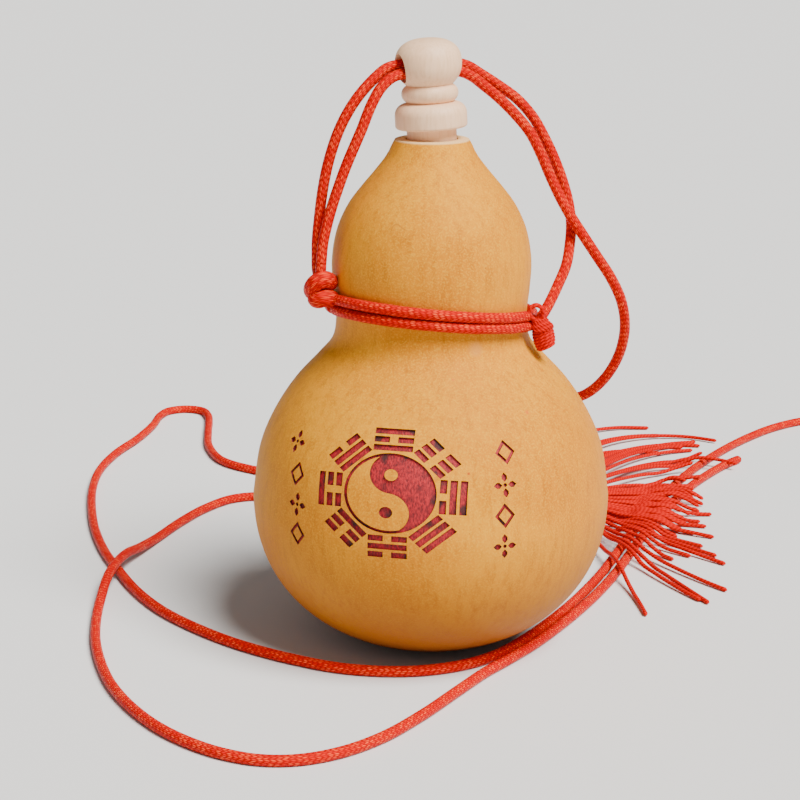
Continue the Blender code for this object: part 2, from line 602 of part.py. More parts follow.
def build_tassel(parts):
    """The head and the skirt of threads, the skirt joined into one solid."""
    head = [(0.0, 0.0), (HEAD_NECK, 0.0), (HEAD_RADIUS - 0.5, HEAD_ROUND / 2), (HEAD_RADIUS, HEAD_ROUND)]
    pitch = (HEAD_LENGTH - 2 * HEAD_ROUND) / HEAD_RIDGES
    for ridge in range(HEAD_RIDGES):
        low = HEAD_ROUND + (ridge + 0.4) * pitch
        head += [(HEAD_RADIUS - HEAD_GROOVE, low), (HEAD_RADIUS, low + pitch / 2)]
    head += [(HEAD_RADIUS - 0.7, HEAD_LENGTH), (0.0, HEAD_LENGTH)]
    turn = Matrix.Rotation(math.pi / 2, 4, "Y")
    head_frame = Matrix.Translation(Vector((HEAD_START, HEAD_Y, HEAD_Z)) * MM) @ turn
    turned("tassel_head", head[::-1], 16, parts, "tassel", head_frame)

    draw = random.Random(THREAD_SEED)
    straps = smooth_route(STRAP_LONG_TAIL, 2.0) + smooth_route(STRAP_SHORT_TAIL, 2.0)
    straps = [p for p in straps if p.x > 30.0 and p.y > 0.0]
    threads = bpy.data.collections.new("tassel threads")
    bpy.context.scene.collection.children.link(threads)
    for number in range(THREAD_COUNT):
        name = f"thread {number}"
        strand = tube(name, thread_route(draw, number, straps), THREAD_RADIUS, threads, None, 1)
        place(name, solid_mesh(strand, name), threads)
    root = [(0.0, SKIRT_ROOT_LENGTH), (SKIRT_ROOT_RADIUS * 0.7, SKIRT_ROOT_LENGTH),
            (SKIRT_ROOT_RADIUS, 0.0), (0.0, 0.0)]
    root_frame = Matrix.Translation(Vector((SKIRT_START, HEAD_Y, HEAD_Z)) * MM) @ turn
    bundle = turned("tassel_skirt", root, 12, parts, None, root_frame)
    union = cut(bundle, threads, "UNION")
    union.solver = "MANIFOLD"
    skirt = place("tassel_skirt", solid_mesh(bundle, "tassel_skirt"), parts, "tassel", root_frame)
    skirt.name = "tassel_skirt"
    for obj in list(threads.objects):
        bpy.data.objects.remove(obj)
    bpy.data.collections.remove(threads)


for old in list(bpy.data.objects):
    bpy.data.objects.remove(old)
scene_root = bpy.context.scene.collection
piece_collection = bpy.data.collections.new("dried bottle gourd")
cutter_collection = bpy.data.collections.new("cutters")
engraving_collection = bpy.data.collections.new("engraving")
for made in (piece_collection, cutter_collection, engraving_collection):
    scene_root.children.link(made)

build_tassel(piece_collection)
build_waist(piece_collection)
for cord_name, cord_points, cord_step in (
        ("tether_outer", TETHER_OUTER, CORD_STEP),
        ("tether_inner", TETHER_INNER, CORD_STEP),
        ("strap_long_tail", STRAP_LONG_TAIL, LONG_TAIL_STEP),
        ("strap_short_tail", STRAP_SHORT_TAIL, SHORT_TAIL_STEP),
        ("tassel_cord", TASSEL_CORD, CORD_STEP)):
    tube(cord_name, smooth_route(cord_points, cord_step), CORD_RADIUS, piece_collection, "cord")
build_stopper(piece_collection, cutter_collection)
build_gourd(piece_collection, cutter_collection, engraving_collection)
for piece in piece_collection.objects:
    if piece.type == "MESH":
        piece.data.shade_smooth()
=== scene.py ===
"""A dried bottle gourd made into a stoppered flask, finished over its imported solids.

The engraved gourd, its turned stopper, the red satin cords with their knots, and the tassel
are made here in full detail, each in place of its plain solid. Sizes are in millimetres and
turned to metres where a mesh is made.
"""

import math
import random

import bpy
from mathutils import Matrix, Vector


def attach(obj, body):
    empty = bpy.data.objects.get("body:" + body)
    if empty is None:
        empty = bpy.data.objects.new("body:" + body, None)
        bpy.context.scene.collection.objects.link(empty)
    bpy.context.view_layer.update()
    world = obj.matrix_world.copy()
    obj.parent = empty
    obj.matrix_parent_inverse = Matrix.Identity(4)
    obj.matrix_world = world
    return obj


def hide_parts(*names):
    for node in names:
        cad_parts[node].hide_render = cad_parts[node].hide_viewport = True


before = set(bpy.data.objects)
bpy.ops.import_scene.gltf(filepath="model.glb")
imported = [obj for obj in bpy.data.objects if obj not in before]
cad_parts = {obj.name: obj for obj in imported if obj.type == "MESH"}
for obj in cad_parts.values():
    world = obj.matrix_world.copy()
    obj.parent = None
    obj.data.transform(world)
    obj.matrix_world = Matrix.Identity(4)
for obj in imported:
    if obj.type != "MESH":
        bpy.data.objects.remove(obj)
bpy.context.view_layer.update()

# Camera
# The photograph's view: straight at the engraved face from a little above the stopper's top,
# looking 15 degrees down through a long lens.
CAMERA_PLACE = (-0.0073, -0.4559, 0.1802)
CAMERA_PITCH = math.radians(75.0)

camera_data = bpy.data.cameras.new("camera")
camera_data.lens = 90.0
camera_data.sensor_width = 36.0
camera = bpy.data.objects.new("camera", camera_data)
camera.location = CAMERA_PLACE
camera.rotation_euler = (CAMERA_PITCH, 0.0, 0.0)
bpy.context.scene.collection.objects.link(camera)
bpy.context.scene.camera = camera

# Cords
# Polyester satin knotting cord, plaited from bundles of glossy threads round a core.
# Two lengths tie the stopper to the waist, one behind it carries the tassel, and the two
# tails of the strap lie in loose loops, the ends cut and sealed with a flame.
MM = 0.001
CORD_RADIUS = 1.25
CORD_SIDES = 16
PLAIT_COLUMNS = 20
PLAIT_PITCH = 1.3
PLAIT_RELIEF = 0.008
PLAIT_SLANT = 0.4
RING_STEP = PLAIT_PITCH / 4
PATH_STEP = 2.0
SPAN_PARTS = 16
END_BLUNTNESS = 0.12
# The length of cord or thread that one unit of U covers
UV_UNIT = 10.0

# Each cord's route, point by point from the knot where it starts
TETHER_OUTER = [
    (-26.3, -6.6, 92.5), (-26.2, -6.3, 97.4), (-25.7, -6.1, 102.3), (-25.0, -6.0, 107.7),
    (-24.0, -6.0, 113.0), (-22.8, -6.1, 117.5), (-21.2, -6.1, 122.0), (-19.0, -5.9, 126.4),
    (-16.4, -5.3, 130.2), (-13.2, -3.9, 133.6), (-10.4, -2.45, 135.8), (-7.8, -1.35, 136.5),
    (-1.24, 1.12, 136.55), (5.3, 3.5, 136.5), (8.2, 4.8, 135.7),
    (11.2, 6.1, 133.8), (15.2, 6.9, 131.2), (19.6, 7.2, 128.0), (23.4, 7.0, 123.8), (26.2, 6.5, 119.0),
    (28.6, 6.0, 114.0), (30.5, 5.2, 109.0), (31.9, 4.4, 103.9), (32.4, 2.9, 99.4), (32.0, 0.8, 95.0),
    (31.1, -1.4, 90.7), (29.1, -3.6, 86.4), (27.0, -5.9, 82.6), (25.8, -7.2, 80.8),
]
TETHER_INNER = [
    (-25.2, -9.6, 92.7), (-24.7, -9.4, 97.4), (-23.7, -9.1, 101.8), (-22.5, -8.8, 106.0),
    (-21.2, -8.6, 109.8), (-19.9, -8.4, 113.4), (-18.6, -8.2, 116.6), (-17.2, -8.0, 119.8),
    (-15.8, -7.7, 123.0), (-14.6, -7.3, 126.1), (-13.3, -6.8, 129.0), (-11.6, -6.0, 131.8),
    (-9.2, -4.7, 133.95), (-6.2, -3.25, 134.8), (-0.46, -1.14, 134.85), (6.1, 1.25, 134.85),
    (9.0, 2.7, 133.6), (11.8, 3.9, 131.4), (15.1, 4.4, 128.7), (19.2, 4.4, 124.7), (22.6, 4.1, 120.6),
    (25.0, 3.5, 116.1), (27.2, 2.6, 111.1), (29.4, 1.4, 106.5), (31.7, 0.1, 102.4), (34.6, -0.4, 98.0),
    (38.4, 0.8, 92.3), (42.0, 2.6, 86.8), (44.9, 5.2, 80.6), (46.2, 8.4, 73.6), (45.4, 11.6, 66.4),
    (42.6, 14.8, 59.8), (38.4, 19.4, 54.4), (32.8, 26.6, 51.0), (26.2, 33.4, 50.6), (19.2, 37.4, 53.2),
    (13.0, 37.6, 59.0), (8.4, 34.8, 66.0), (5.9, 31.6, 71.6),
]
STRAP_LONG_TAIL = [
    (-2.0, 30.8, 70.2), (-3.4, 33.8, 66.0), (-5.0, 38.2, 60.0), (-6.4, 42.2, 51.5), (-7.2, 44.6, 42.5),
    (-7.6, 45.4, 33.0), (-8.0, 46.6, 22.0), (-8.2, 50.6, 11.5), (-8.6, 59.0, 4.4), (-10.4, 74.0, 1.5),
    (-15.0, 92.0, 1.3), (-24.0, 109.0, 1.3), (-37.0, 121.5, 1.3), (-51.5, 129.0, 1.3),
    (-62.0, 138.5, 1.3), (-67.8, 154.0, 1.3), (-69.8, 171.0, 1.3), (-70.6, 183.0, 1.3),
    (-71.8, 192.0, 1.3), (-74.2, 197.6, 1.3), (-79.8, 200.0, 1.3), (-85.4, 197.6, 1.3),
    (-87.8, 191.6, 1.3), (-88.8, 180.0, 1.3), (-91.8, 164.0, 1.3), (-96.6, 147.0, 1.3),
    (-99.0, 130.0, 1.3), (-98.6, 112.0, 1.3), (-96.0, 92.0, 1.3), (-92.0, 72.0, 1.3),
    (-86.8, 54.0, 1.3), (-80.6, 38.0, 1.3), (-74.0, 23.0, 1.3), (-66.4, 10.0, 1.3),
    (-57.0, -1.5, 1.3), (-46.0, -12.0, 1.3), (-33.0, -21.0, 1.3), (-19.0, -27.4, 1.3),
    (-4.0, -28.6, 1.3), (8.0, -24.6, 1.3), (15.6, -18.4, 1.3), (22.0, -9.8, 1.3), (28.0, 0.2, 1.3),
    (33.8, 11.0, 1.3), (39.6, 23.2, 1.3), (45.2, 36.6, 1.3), (50.4, 51.0, 1.3), (55.4, 65.4, 1.3),
    (61.2, 81.0, 1.3), (68.0, 98.4, 1.3), (76.0, 117.0, 1.3), (85.0, 134.6, 1.3), (95.0, 151.0, 1.3),
    (105.4, 165.4, 1.3), (115.8, 177.0, 1.3), (126.0, 184.6, 1.3), (138.0, 189.4, 1.3),
    (151.0, 190.6, 1.3), (164.0, 188.0, 1.3), (176.0, 182.6, 1.3),
]
STRAP_SHORT_TAIL = [
    (-5.3, 31.0, 72.4), (-8.4, 34.2, 67.0), (-12.2, 38.4, 59.5), (-15.8, 41.4, 50.5),
    (-18.6, 43.0, 40.0), (-20.6, 44.4, 29.0), (-22.0, 47.0, 17.5), (-23.4, 52.4, 8.2), (-25.6, 61.4, 2.9),
    (-29.0, 73.0, 1.4), (-34.0, 85.6, 1.3), (-40.4, 96.4, 1.3), (-48.0, 102.6, 1.3), (-56.0, 100.6, 1.3),
    (-63.0, 92.0, 1.3), (-69.0, 79.4, 1.3), (-74.0, 65.6, 1.3), (-77.2, 54.6, 2.4), (-79.6, 45.4, 3.9),
    (-81.2, 36.2, 4.4), (-82.2, 27.0, 3.9), (-82.4, 17.6, 2.4), (-82.0, 6.4, 1.3), (-80.0, -9.4, 1.3),
    (-76.6, -24.0, 1.3), (-72.0, -37.6, 1.3), (-66.0, -49.6, 1.3), (-59.0, -59.8, 1.3),
    (-51.6, -67.4, 1.3), (-44.0, -72.8, 1.3), (-36.0, -75.8, 1.3), (-28.0, -75.6, 1.3),
    (-19.6, -72.0, 1.3), (-11.0, -64.6, 1.3), (-2.4, -53.0, 1.3), (5.6, -40.0, 1.3), (12.2, -29.4, 1.3),
    (18.4, -21.0, 1.3), (24.8, -11.8, 1.3), (30.8, -1.6, 1.3), (36.8, 9.6, 1.3), (42.8, 22.0, 1.3),
    (48.4, 35.4, 1.3), (53.6, 49.8, 1.3), (58.6, 64.2, 1.3), (64.6, 79.6, 1.3), (71.8, 97.0, 1.3),
    (80.2, 114.4, 1.3), (87.4, 126.6, 1.3), (93.0, 134.8, 1.3), (98.4, 141.0, 1.3),
]
TASSEL_CORD = [
    (1.3, 31.2, 70.2), (1.8, 34.8, 65.4), (2.8, 40.0, 58.0), (4.0, 43.4, 49.5), (5.4, 45.0, 40.0),
    (7.2, 46.4, 30.0), (9.2, 49.6, 20.0), (11.2, 56.4, 11.0), (13.4, 66.0, 5.8), (16.4, 76.4, 4.3),
    (20.8, 84.2, 4.4), (27.4, 88.0, 4.6),
]


def smooth_route(points, step):
    """Even points along one smooth curve through the given points."""
    knots = [Vector(p) for p in points]
    knots = [knots[0] * 2 - knots[1]] + knots + [knots[-1] * 2 - knots[-2]]
    times = [0.0]
    for a, b in zip(knots, knots[1:]):
        times.append(times[-1] + math.sqrt((b - a).length))
    dense = []
    for i in range(1, len(knots) - 2):
        p0, p1, p2, p3 = knots[i - 1:i + 3]
        t0, t1, t2, t3 = times[i - 1:i + 3]
        for part in range(SPAN_PARTS):
            t = t1 + (t2 - t1) * part / SPAN_PARTS
            a1 = p0 * ((t1 - t) / (t1 - t0)) + p1 * ((t - t0) / (t1 - t0))
            a2 = p1 * ((t2 - t) / (t2 - t1)) + p2 * ((t - t1) / (t2 - t1))
            a3 = p2 * ((t3 - t) / (t3 - t2)) + p3 * ((t - t2) / (t3 - t2))
            b1 = a1 * ((t2 - t) / (t2 - t0)) + a2 * ((t - t0) / (t2 - t0))
            b2 = a2 * ((t3 - t) / (t3 - t1)) + a3 * ((t - t1) / (t3 - t1))
            dense.append(b1 * ((t2 - t) / (t2 - t1)) + b2 * ((t - t1) / (t2 - t1)))
    dense.append(knots[-2])
    lengths = [0.0]
    for a, b in zip(dense, dense[1:]):
        lengths.append(lengths[-1] + (b - a).length)
    count = max(2, round(lengths[-1] / step))
    even = []
    at = 0
    for i in range(count + 1):
        goal = lengths[-1] * i / count
        while at < len(dense) - 2 and lengths[at + 1] < goal:
            at += 1
        share = (goal - lengths[at]) / (lengths[at + 1] - lengths[at])
        even.append(dense[at].lerp(dense[at + 1], min(share, 1.0)))
    return even


def route_length(route):
    """The length along a route, in its own unit."""
    return sum((b - a).length for a, b in zip(route, route[1:]))


def swept(route, radius, sides, relief=0.0, pitch=PLAIT_PITCH, columns=PLAIT_COLUMNS, twist=0.0,
          rounded=(True, True)):
    """Points, faces and UVs of a round strand: U along it, V round it, plait or ply as relief."""
    wraps = 1.0 if twist else columns / PLAIT_COLUMNS
    points = []
    faces = []
    uvs = []
    last = len(route) - 1
    total = route_length(route)
    along = 0.0
    alongs = []
    side = (route[1] - route[0]).orthogonal()
    for i, point in enumerate(route):
        if i:
            along += (point - route[i - 1]).length
        alongs.append(along / UV_UNIT)
        ahead = (route[min(i + 1, last)] - route[max(i - 1, 0)]).normalized()
        side = (side - ahead * side.dot(ahead)).normalized()
        up = ahead.cross(side)
        ends = ((along, rounded[0]), (total - along, rounded[1]))
        from_end = min([far for far, is_round in ends if is_round], default=radius) / radius
        closing = math.sqrt(1.0 - (1.0 - min(1.0, from_end + END_BLUNTNESS)) ** 2)
        for k in range(sides):
            turn = 2.0 * math.pi * k / sides
            wave = (math.cos(turn * columns / 2 + twist * along)
                    * math.cos(2.0 * math.pi * along / pitch))
            if twist:
                wave = math.cos(turn * columns + twist * along)
            reach = radius * (1.0 - relief + relief * wave) * closing
            points.append((point + (side * math.cos(turn) + up * math.sin(turn)) * reach) * MM)
    for i in range(last):
        for k in range(sides):
            after = (k + 1) % sides
            faces.append((i * sides + k, i * sides + after,
                          (i + 1) * sides + after, (i + 1) * sides + k))
            near, far = wraps * k / sides, wraps * (k + 1) / sides
            uvs += [(alongs[i], near), (alongs[i], far), (alongs[i + 1], far), (alongs[i + 1], near)]
    faces.append(tuple(range(sides))[::-1])
    uvs += [(alongs[0], 0.5)] * sides
    faces.append(tuple(last * sides + k for k in range(sides)))
    uvs += [(alongs[last], 0.5)] * sides
    return points, faces, uvs


def strands_piece(name, strands, material, nodes):
    """One piece of one or more swept strands, in place of its solids."""
    points = []
    faces = []
    uvs = []
    for strand_points, strand_faces, strand_uvs in strands:
        start = len(points)
        points += strand_points
        faces += [tuple(start + corner for corner in face) for face in strand_faces]
        uvs += strand_uvs
    mesh = bpy.data.meshes.new(name)
    mesh.from_pydata(points, [], faces)
    layer = mesh.uv_layers.new(name="UVMap")
    layer.data.foreach_set("uv", [number for uv in uvs for number in uv])
    mesh.shade_smooth()
    mesh.materials.append(material)
    piece = bpy.data.objects.new(name, mesh)
    bpy.context.scene.collection.objects.link(piece)
    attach(piece, "root")
    if nodes:
        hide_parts(*nodes)
    return piece


def from_hex(code):
    """An sRGB hex colour as linear numbers."""
    channels = [int(code[i:i + 2], 16) / 255.0 for i in (1, 3, 5)]
    linear = [c / 12.92 if c <= 0.04045 else ((c + 0.055) / 1.055) ** 2.4 for c in channels]
    return (*linear, 1.0)


def add_node(material, kind, settings=None, inputs=None):
    """One shader node with its settings, and its inputs as numbers or as other nodes' outputs."""
    node = material.node_tree.nodes.new("ShaderNode" + kind)
    for name, value in (settings or {}).items():
        setattr(node, name, value)
    for name, value in (inputs or {}).items():
        if isinstance(value, bpy.types.NodeSocket):
            material.node_tree.links.new(value, node.inputs[name])
        else:
            node.inputs[name].default_value = value
    return node


def new_material(name):
    """An empty material and its output node."""
    material = bpy.data.materials.new(name)
    material.use_nodes = True
    material.node_tree.nodes.clear()
    return material, add_node(material, "OutputMaterial")


# Satin: bright red, each plait bundle a glossy slanted streak about 1.3 mm long and 0.4 mm wide,
# some of them with a painted highlight, and painted shade, a deeper red, in the grooves between bundles
satin_cord, satin_out = new_material("polyester satin cord")
cord_uv = add_node(satin_cord, "TexCoord").outputs["UV"]
cord_axes = add_node(satin_cord, "SeparateXYZ", None, {0: cord_uv})
columns = add_node(satin_cord, "Math", {"operation": "MULTIPLY"},
                   {0: cord_axes.outputs[1], 1: PLAIT_COLUMNS})
column = add_node(satin_cord, "Math", {"operation": "FLOOR"}, {0: columns.outputs[0]})
odd_column = add_node(satin_cord, "Math", {"operation": "MODULO"}, {0: column.outputs[0], 1: 2.0})
stagger = add_node(satin_cord, "TexWhiteNoise", {"noise_dimensions": "1D"}, {"W": column.outputs[0]})
level_bundles = add_node(satin_cord, "Math", {"operation": "MULTIPLY_ADD"},
                         {0: cord_axes.outputs[0], 1: UV_UNIT / PLAIT_PITCH,
                          2: stagger.outputs["Value"]})
slant_way = add_node(satin_cord, "MapRange", None,
                     {"Value": odd_column.outputs[0], "To Min": -PLAIT_SLANT, "To Max": PLAIT_SLANT})
across_share = add_node(satin_cord, "Math", {"operation": "FRACT"}, {0: columns.outputs[0]})
bundles = add_node(satin_cord, "Math", {"operation": "MULTIPLY_ADD"},
                   {0: across_share.outputs[0], 1: slant_way.outputs[0], 2: level_bundles.outputs[0]})
bundle = add_node(satin_cord, "Math", {"operation": "FLOOR"}, {0: bundles.outputs[0]})
bundle_along = add_node(satin_cord, "Math", {"operation": "FRACT"}, {0: bundles.outputs[0]})
bundle_number = add_node(satin_cord, "CombineXYZ", None, {0: bundle.outputs[0], 1: column.outputs[0]})
bundle_luck = add_node(satin_cord, "TexWhiteNoise", {"noise_dimensions": "3D"},
                       {"Vector": bundle_number.outputs[0]})
fleck_along = add_node(satin_cord, "MapRange", None,
                       {"Value": bundle_along.outputs[0], "To Min": -1.0, "To Max": 1.0})
fleck_across = add_node(satin_cord, "MapRange", None,
                        {"Value": across_share.outputs[0], "To Min": -1.0, "To Max": 1.0})
fleck_place = add_node(satin_cord, "CombineXYZ", None,
                       {0: fleck_along.outputs[0], 1: fleck_across.outputs[0]})
fleck_far = add_node(satin_cord, "VectorMath", {"operation": "LENGTH"}, {0: fleck_place.outputs[0]})
fleck = add_node(satin_cord, "MapRange", {"interpolation_type": "SMOOTHSTEP"},
                 {"Value": fleck_far.outputs["Value"], "From Min": 1.05, "From Max": 0.25})
# Painted highlight: bundles picked by luck are coloured orange, as glints of light on the satin
glint_luck = add_node(satin_cord, "MapRange", None,
                       {"Value": bundle_luck.outputs["Value"], "From Min": 0.4, "From Max": 0.9})
painted_glint = add_node(satin_cord, "Math", {"operation": "MULTIPLY"},
                        {0: fleck.outputs[0], 1: glint_luck.outputs[0]})
# Painted shade: deeper red towards each bundle's edge, for the shade in the grooves between bundles
cord_painted_groove_shade = add_node(satin_cord, "Mix", {"data_type": "RGBA"},
                     {0: fleck.outputs[0], 6: from_hex("#A40000"), 7: from_hex("#E00400")})
cord_colour = add_node(satin_cord, "Mix", {"data_type": "RGBA"},
                       {0: painted_glint.outputs[0], 6: cord_painted_groove_shade.outputs[2], 7: from_hex("#FF5424")})
cord_rough = add_node(satin_cord, "MapRange", None,
                      {"Value": painted_glint.outputs[0], "To Min": 0.5, "To Max": 0.32})
cord_bump = add_node(satin_cord, "Bump", None,
                     {"Strength": 0.7, "Distance": 0.00008, "Height": fleck.outputs[0]})
cord_shader = add_node(satin_cord, "BsdfPrincipled", None,
                       {"Base Color": cord_colour.outputs[2], "Roughness": cord_rough.outputs[0],
                        "Specular IOR Level": 0.15, "Specular Tint": from_hex("#FF5030"),
                        "Normal": cord_bump.outputs[0]})
satin_cord.node_tree.links.new(cord_shader.outputs[0], satin_out.inputs[0])

free_cords = {}
for cord_name, cord_points, is_cut in (
        ("tether_outer", TETHER_OUTER, False), ("tether_inner", TETHER_INNER, False),
        ("strap_long_tail", STRAP_LONG_TAIL, True), ("strap_short_tail", STRAP_SHORT_TAIL, True),
        ("tassel_cord", TASSEL_CORD, False)):
    fine_route = smooth_route(cord_points, RING_STEP)
    strand = swept(fine_route, CORD_RADIUS, CORD_SIDES, PLAIT_RELIEF, rounded=(False, is_cut))
    free_cords[cord_name] = strands_piece(cord_name + "_satin", [strand], satin_cord,
                                          [cord_name])
    free_cords[cord_name]["length"] = route_length(fine_route) * MM

# Gourd
# A dried bottle gourd, scraped, sanded and waxed: a hard shell about 3 mm thick round an empty
# inside, cut flat at the neck. The round sign, the eight signs and the two columns of small
# marks are burnt 0.5 mm into it by a laser and filled with red dye.
# Radius and height down the neck, the upper swelling and the waist to the belly's widest place;
# below that the belly is a rounded curve of its own, down to the flat foot
UPPER_OUTLINE = [
    (8.6, 119.8), (10.3, 116.2), (13.1, 112.5), (16.2, 108.8), (19.2, 104.8), (21.8, 99.2),
    (23.1, 92.0), (22.8, 85.2), (22.2, 78.8), (23.1, 73.3), (26.6, 69.0), (32.2, 62.9),
    (37.0, 55.6), (40.4, 47.6), (42.2, 36.2),
]
BELLY_RADIUS = 42.2
BELLY_HEIGHT = 36.2
BELLY_DEPTH = 37.1
BELLY_ROUNDNESS = 2.2
BELLY_RINGS = 40
WALL = 3.0
NECK_RADIUS = 4.4
GOURD_STEPS = 160
SKIN_STEP = 1.5
HOLLOW_STEP = 4.0
HOLLOW_RINGS = 16
RIM_ROUND = 0.35
RIM_EDGE = 0.1
SCAR_RADIUS = 3.0
SCAR_DEPTH = 0.6
MERGE_WITHIN = 0.000002

MOUTH_HEIGHT = 119.8
STOPPER_LEAN = math.radians(3.0)
BORE_RADIUS = 6.0
BORE_DEPTH = 18.0
BORE_ABOVE = 8.0
BORE_STEPS = 64

RECESS = 0.5
SIGN_AZIMUTH = math.radians(-14.0)
SIGN_HEIGHT = 47.4
SIGN_HALF_WIDTH = 10.45
SIGN_HALF_HEIGHT = 8.8
RING_LINE = 0.07
EYE_RADIUS = 0.144
EYE_PLACES = ((0.02, 0.46), (-0.05, -0.48))
STAMP_REACH = 6.0
CURVE_TURN = math.radians(-6.0)
BAR_RADII = (1.13, 1.335, 1.54)
BAR_THICKNESS = 0.145
BAR_HALF_LENGTH = 0.425
BAR_BREAK = 0.09
# Each sign's lines from the inside out, 1 whole and 0 broken, clockwise from the top
EIGHT_SIGNS = ((1, 0, 1), (0, 0, 0), (0, 1, 1), (1, 1, 1), (0, 1, 0), (1, 0, 0), (0, 0, 1), (1, 1, 0))
# Each column's place across the front, and the heights of its marks
MARK_COLUMNS = (
    (-30.4, (54.4, 48.0, 41.4, 34.8)),
    (15.8, (55.2, 48.6, 42.0, 35.2)),
)
# Blemishes: place and half width in millimetres, and colour, full over BLEMISH_CORE of the width
BLEMISHES = (
    ((21.1, -25.3, 62.0), 0.75, "#D2641C"),
    ((4.5, -25.6, 69.5), 0.50, "#D2641C"),
    ((9.7, -20.4, 75.3), 2.40, "#D08A3C"),
    ((7.7, -38.2, 51.6), 0.45, "#A81018"),
    ((-8.2, -23.7, 70.8), 0.40, "#B87028"),
)
BLEMISH_CORE = 0.3
# Height below which painted shade turns the skin brown, and heights between which it turns to the pale
# cut rim
FOOT_PAINTED_SHADE = 44.0
RIM_PALE = (119.35, 119.7)


def skin_outline(step, rings=BELLY_RINGS):
    """Radius and height down the skin, from the rim to the foot."""
    rows = [(p.x, p.z) for p in smooth_route([(r, 0.0, z) for r, z in UPPER_OUTLINE], step)]
    foot_turn = math.acos((BELLY_HEIGHT / BELLY_DEPTH) ** (BELLY_ROUNDNESS / 2))
    for i in range(1, rings + 1):
        turn = math.pi / 2 - (math.pi / 2 - foot_turn) * i / rings
        down = BELLY_DEPTH * math.cos(turn) ** (2 / BELLY_ROUNDNESS)
        out = BELLY_RADIUS * math.sin(turn) ** (2 / BELLY_ROUNDNESS)
        rows.append((out, BELLY_HEIGHT - down))
    return rows


def inset(rows, depth):
    """The same outline moved in by depth, square to itself."""
    moved = []
    for i, (r, z) in enumerate(rows):
        before = Vector(rows[max(i - 1, 0)])
        after = Vector(rows[min(i + 1, len(rows) - 1)])
        run = (after - before).normalized()
        moved.append((r + run.y * depth, z - run.x * depth))
    return moved


def skin_frame(azimuth, height, rows):
    """A flat frame on the skin in metres, X right, Y up the skin, Z out of it, and its radius."""
    for (r0, z0), (r1, z1) in zip(rows, rows[1:]):
        if z1 <= height <= z0:
            radius = r0 + (r1 - r0) * (z0 - height) / (z0 - z1)
            rise = math.atan2(r1 - r0, z0 - z1)
            break
    out = Vector((math.sin(azimuth), -math.cos(azimuth), 0.0))
    normal = out * math.cos(rise) + Vector((0.0, 0.0, math.sin(rise)))
    right = Vector((math.cos(azimuth), math.sin(azimuth), 0.0))
    turn = Matrix((right, normal.cross(right), normal)).transposed().to_4x4()
    return Matrix.Translation((out * radius + Vector((0.0, 0.0, height))) * MM) @ turn, radius


def turned_piece(name, outline, steps, material):
    """A turned shape: its outline is drawn point by point from one vertex, then spun round Z."""
    bpy.ops.object.select_all(action="DESELECT")
    bpy.ops.mesh.primitive_plane_add(size=MM, location=(0.0, 0.0, 0.0))
    piece = bpy.context.object
    piece.name = name
    bpy.ops.object.mode_set(mode="EDIT")
    bpy.ops.mesh.merge(type="CENTER")
    bpy.ops.transform.translate(value=(outline[0][0] * MM, 0.0, outline[0][1] * MM))
    for (r0, z0), (r1, z1) in zip(outline, outline[1:]):
        bpy.ops.mesh.extrude_vertices_move(
            TRANSFORM_OT_translate={"value": ((r1 - r0) * MM, 0.0, (z1 - z0) * MM)})
    bpy.ops.mesh.select_all(action="SELECT")
    bpy.ops.mesh.spin(steps=steps, angle=2 * math.pi, center=(0.0, 0.0, 0.0), axis=(0.0, 0.0, 1.0))
    bpy.ops.mesh.select_all(action="SELECT")
    bpy.ops.mesh.remove_doubles(threshold=MERGE_WITHIN)
    bpy.ops.mesh.normals_make_consistent(inside=False)
    bpy.ops.object.mode_set(mode="OBJECT")
    piece.data.materials.clear()
    piece.data.materials.append(material)
    return piece


def arc(radius, start, end, count, centre=(0.0, 0.0)):
    """Points on a circle from one angle to another, in degrees."""
    turns = [math.radians(start + (end - start) * i / (count - 1)) for i in range(count)]
    return [(centre[0] + radius * math.cos(t), centre[1] + radius * math.sin(t)) for t in turns]


def round_sign():
    """Outlines of the two-part round sign, as shares of its half width and height."""
    inner = 1.0 - RING_LINE
    tail = math.degrees(2 * math.acos(inner))
    pale = arc(inner, 90 + tail / 2, 270 + tail / 2, 49)
    pale += arc(0.5, tail - 90, 90, 25, (0.0, -0.5))
    pale += arc(0.5, 270, 90 + tail, 25, (0.0, 0.5))[1:]
    turn = Matrix.Rotation(CURVE_TURN, 2)
    eyes = [arc(EYE_RADIUS, 0, 350, 36, place) for place in EYE_PLACES]
    return [arc(1.0, 0, 356, 90), [turn @ Vector(p) for p in pale]] + eyes


def trigram_bars():
    """Outlines of the lines of the eight signs round the ring."""
    bars = []
    for place_number, lines in enumerate(EIGHT_SIGNS):
        turn = Matrix.Rotation(-math.pi / 4 * place_number, 2)
        for radius, whole in zip(BAR_RADII, lines):
            ends = [(-BAR_HALF_LENGTH, BAR_HALF_LENGTH)]
            if not whole:
                ends = [(-BAR_HALF_LENGTH, -BAR_BREAK), (BAR_BREAK, BAR_HALF_LENGTH)]
            low = radius - BAR_THICKNESS / 2
            high = low + BAR_THICKNESS
            for left, right in ends:
                corners = [(left, low), (right, low), (right, high), (left, high)]
                bars.append([turn @ Vector(c) for c in corners])
    return bars


def flower_mark():
    """Four pointed petals round a dot."""
    outlines = [arc(0.42, 0, 345, 24)]
    for quarter in range(4):
        turn = Matrix.Rotation(math.pi / 2 * quarter, 2)
        side = [(0.0, 0.72), (0.62, 1.35), (0.66, 2.0), (0.0, 2.75), (-0.66, 2.0), (-0.62, 1.35)]
        outlines.append([turn @ Vector(p) for p in side])
    return outlines


def lozenge_mark():
    """A diamond frame."""
    return [[(0.0, 2.8), (2.4, 0.0), (0.0, -2.8), (-2.4, 0.0)],
            [(0.0, 1.75), (1.5, 0.0), (0.0, -1.75), (-1.5, 0.0)]]


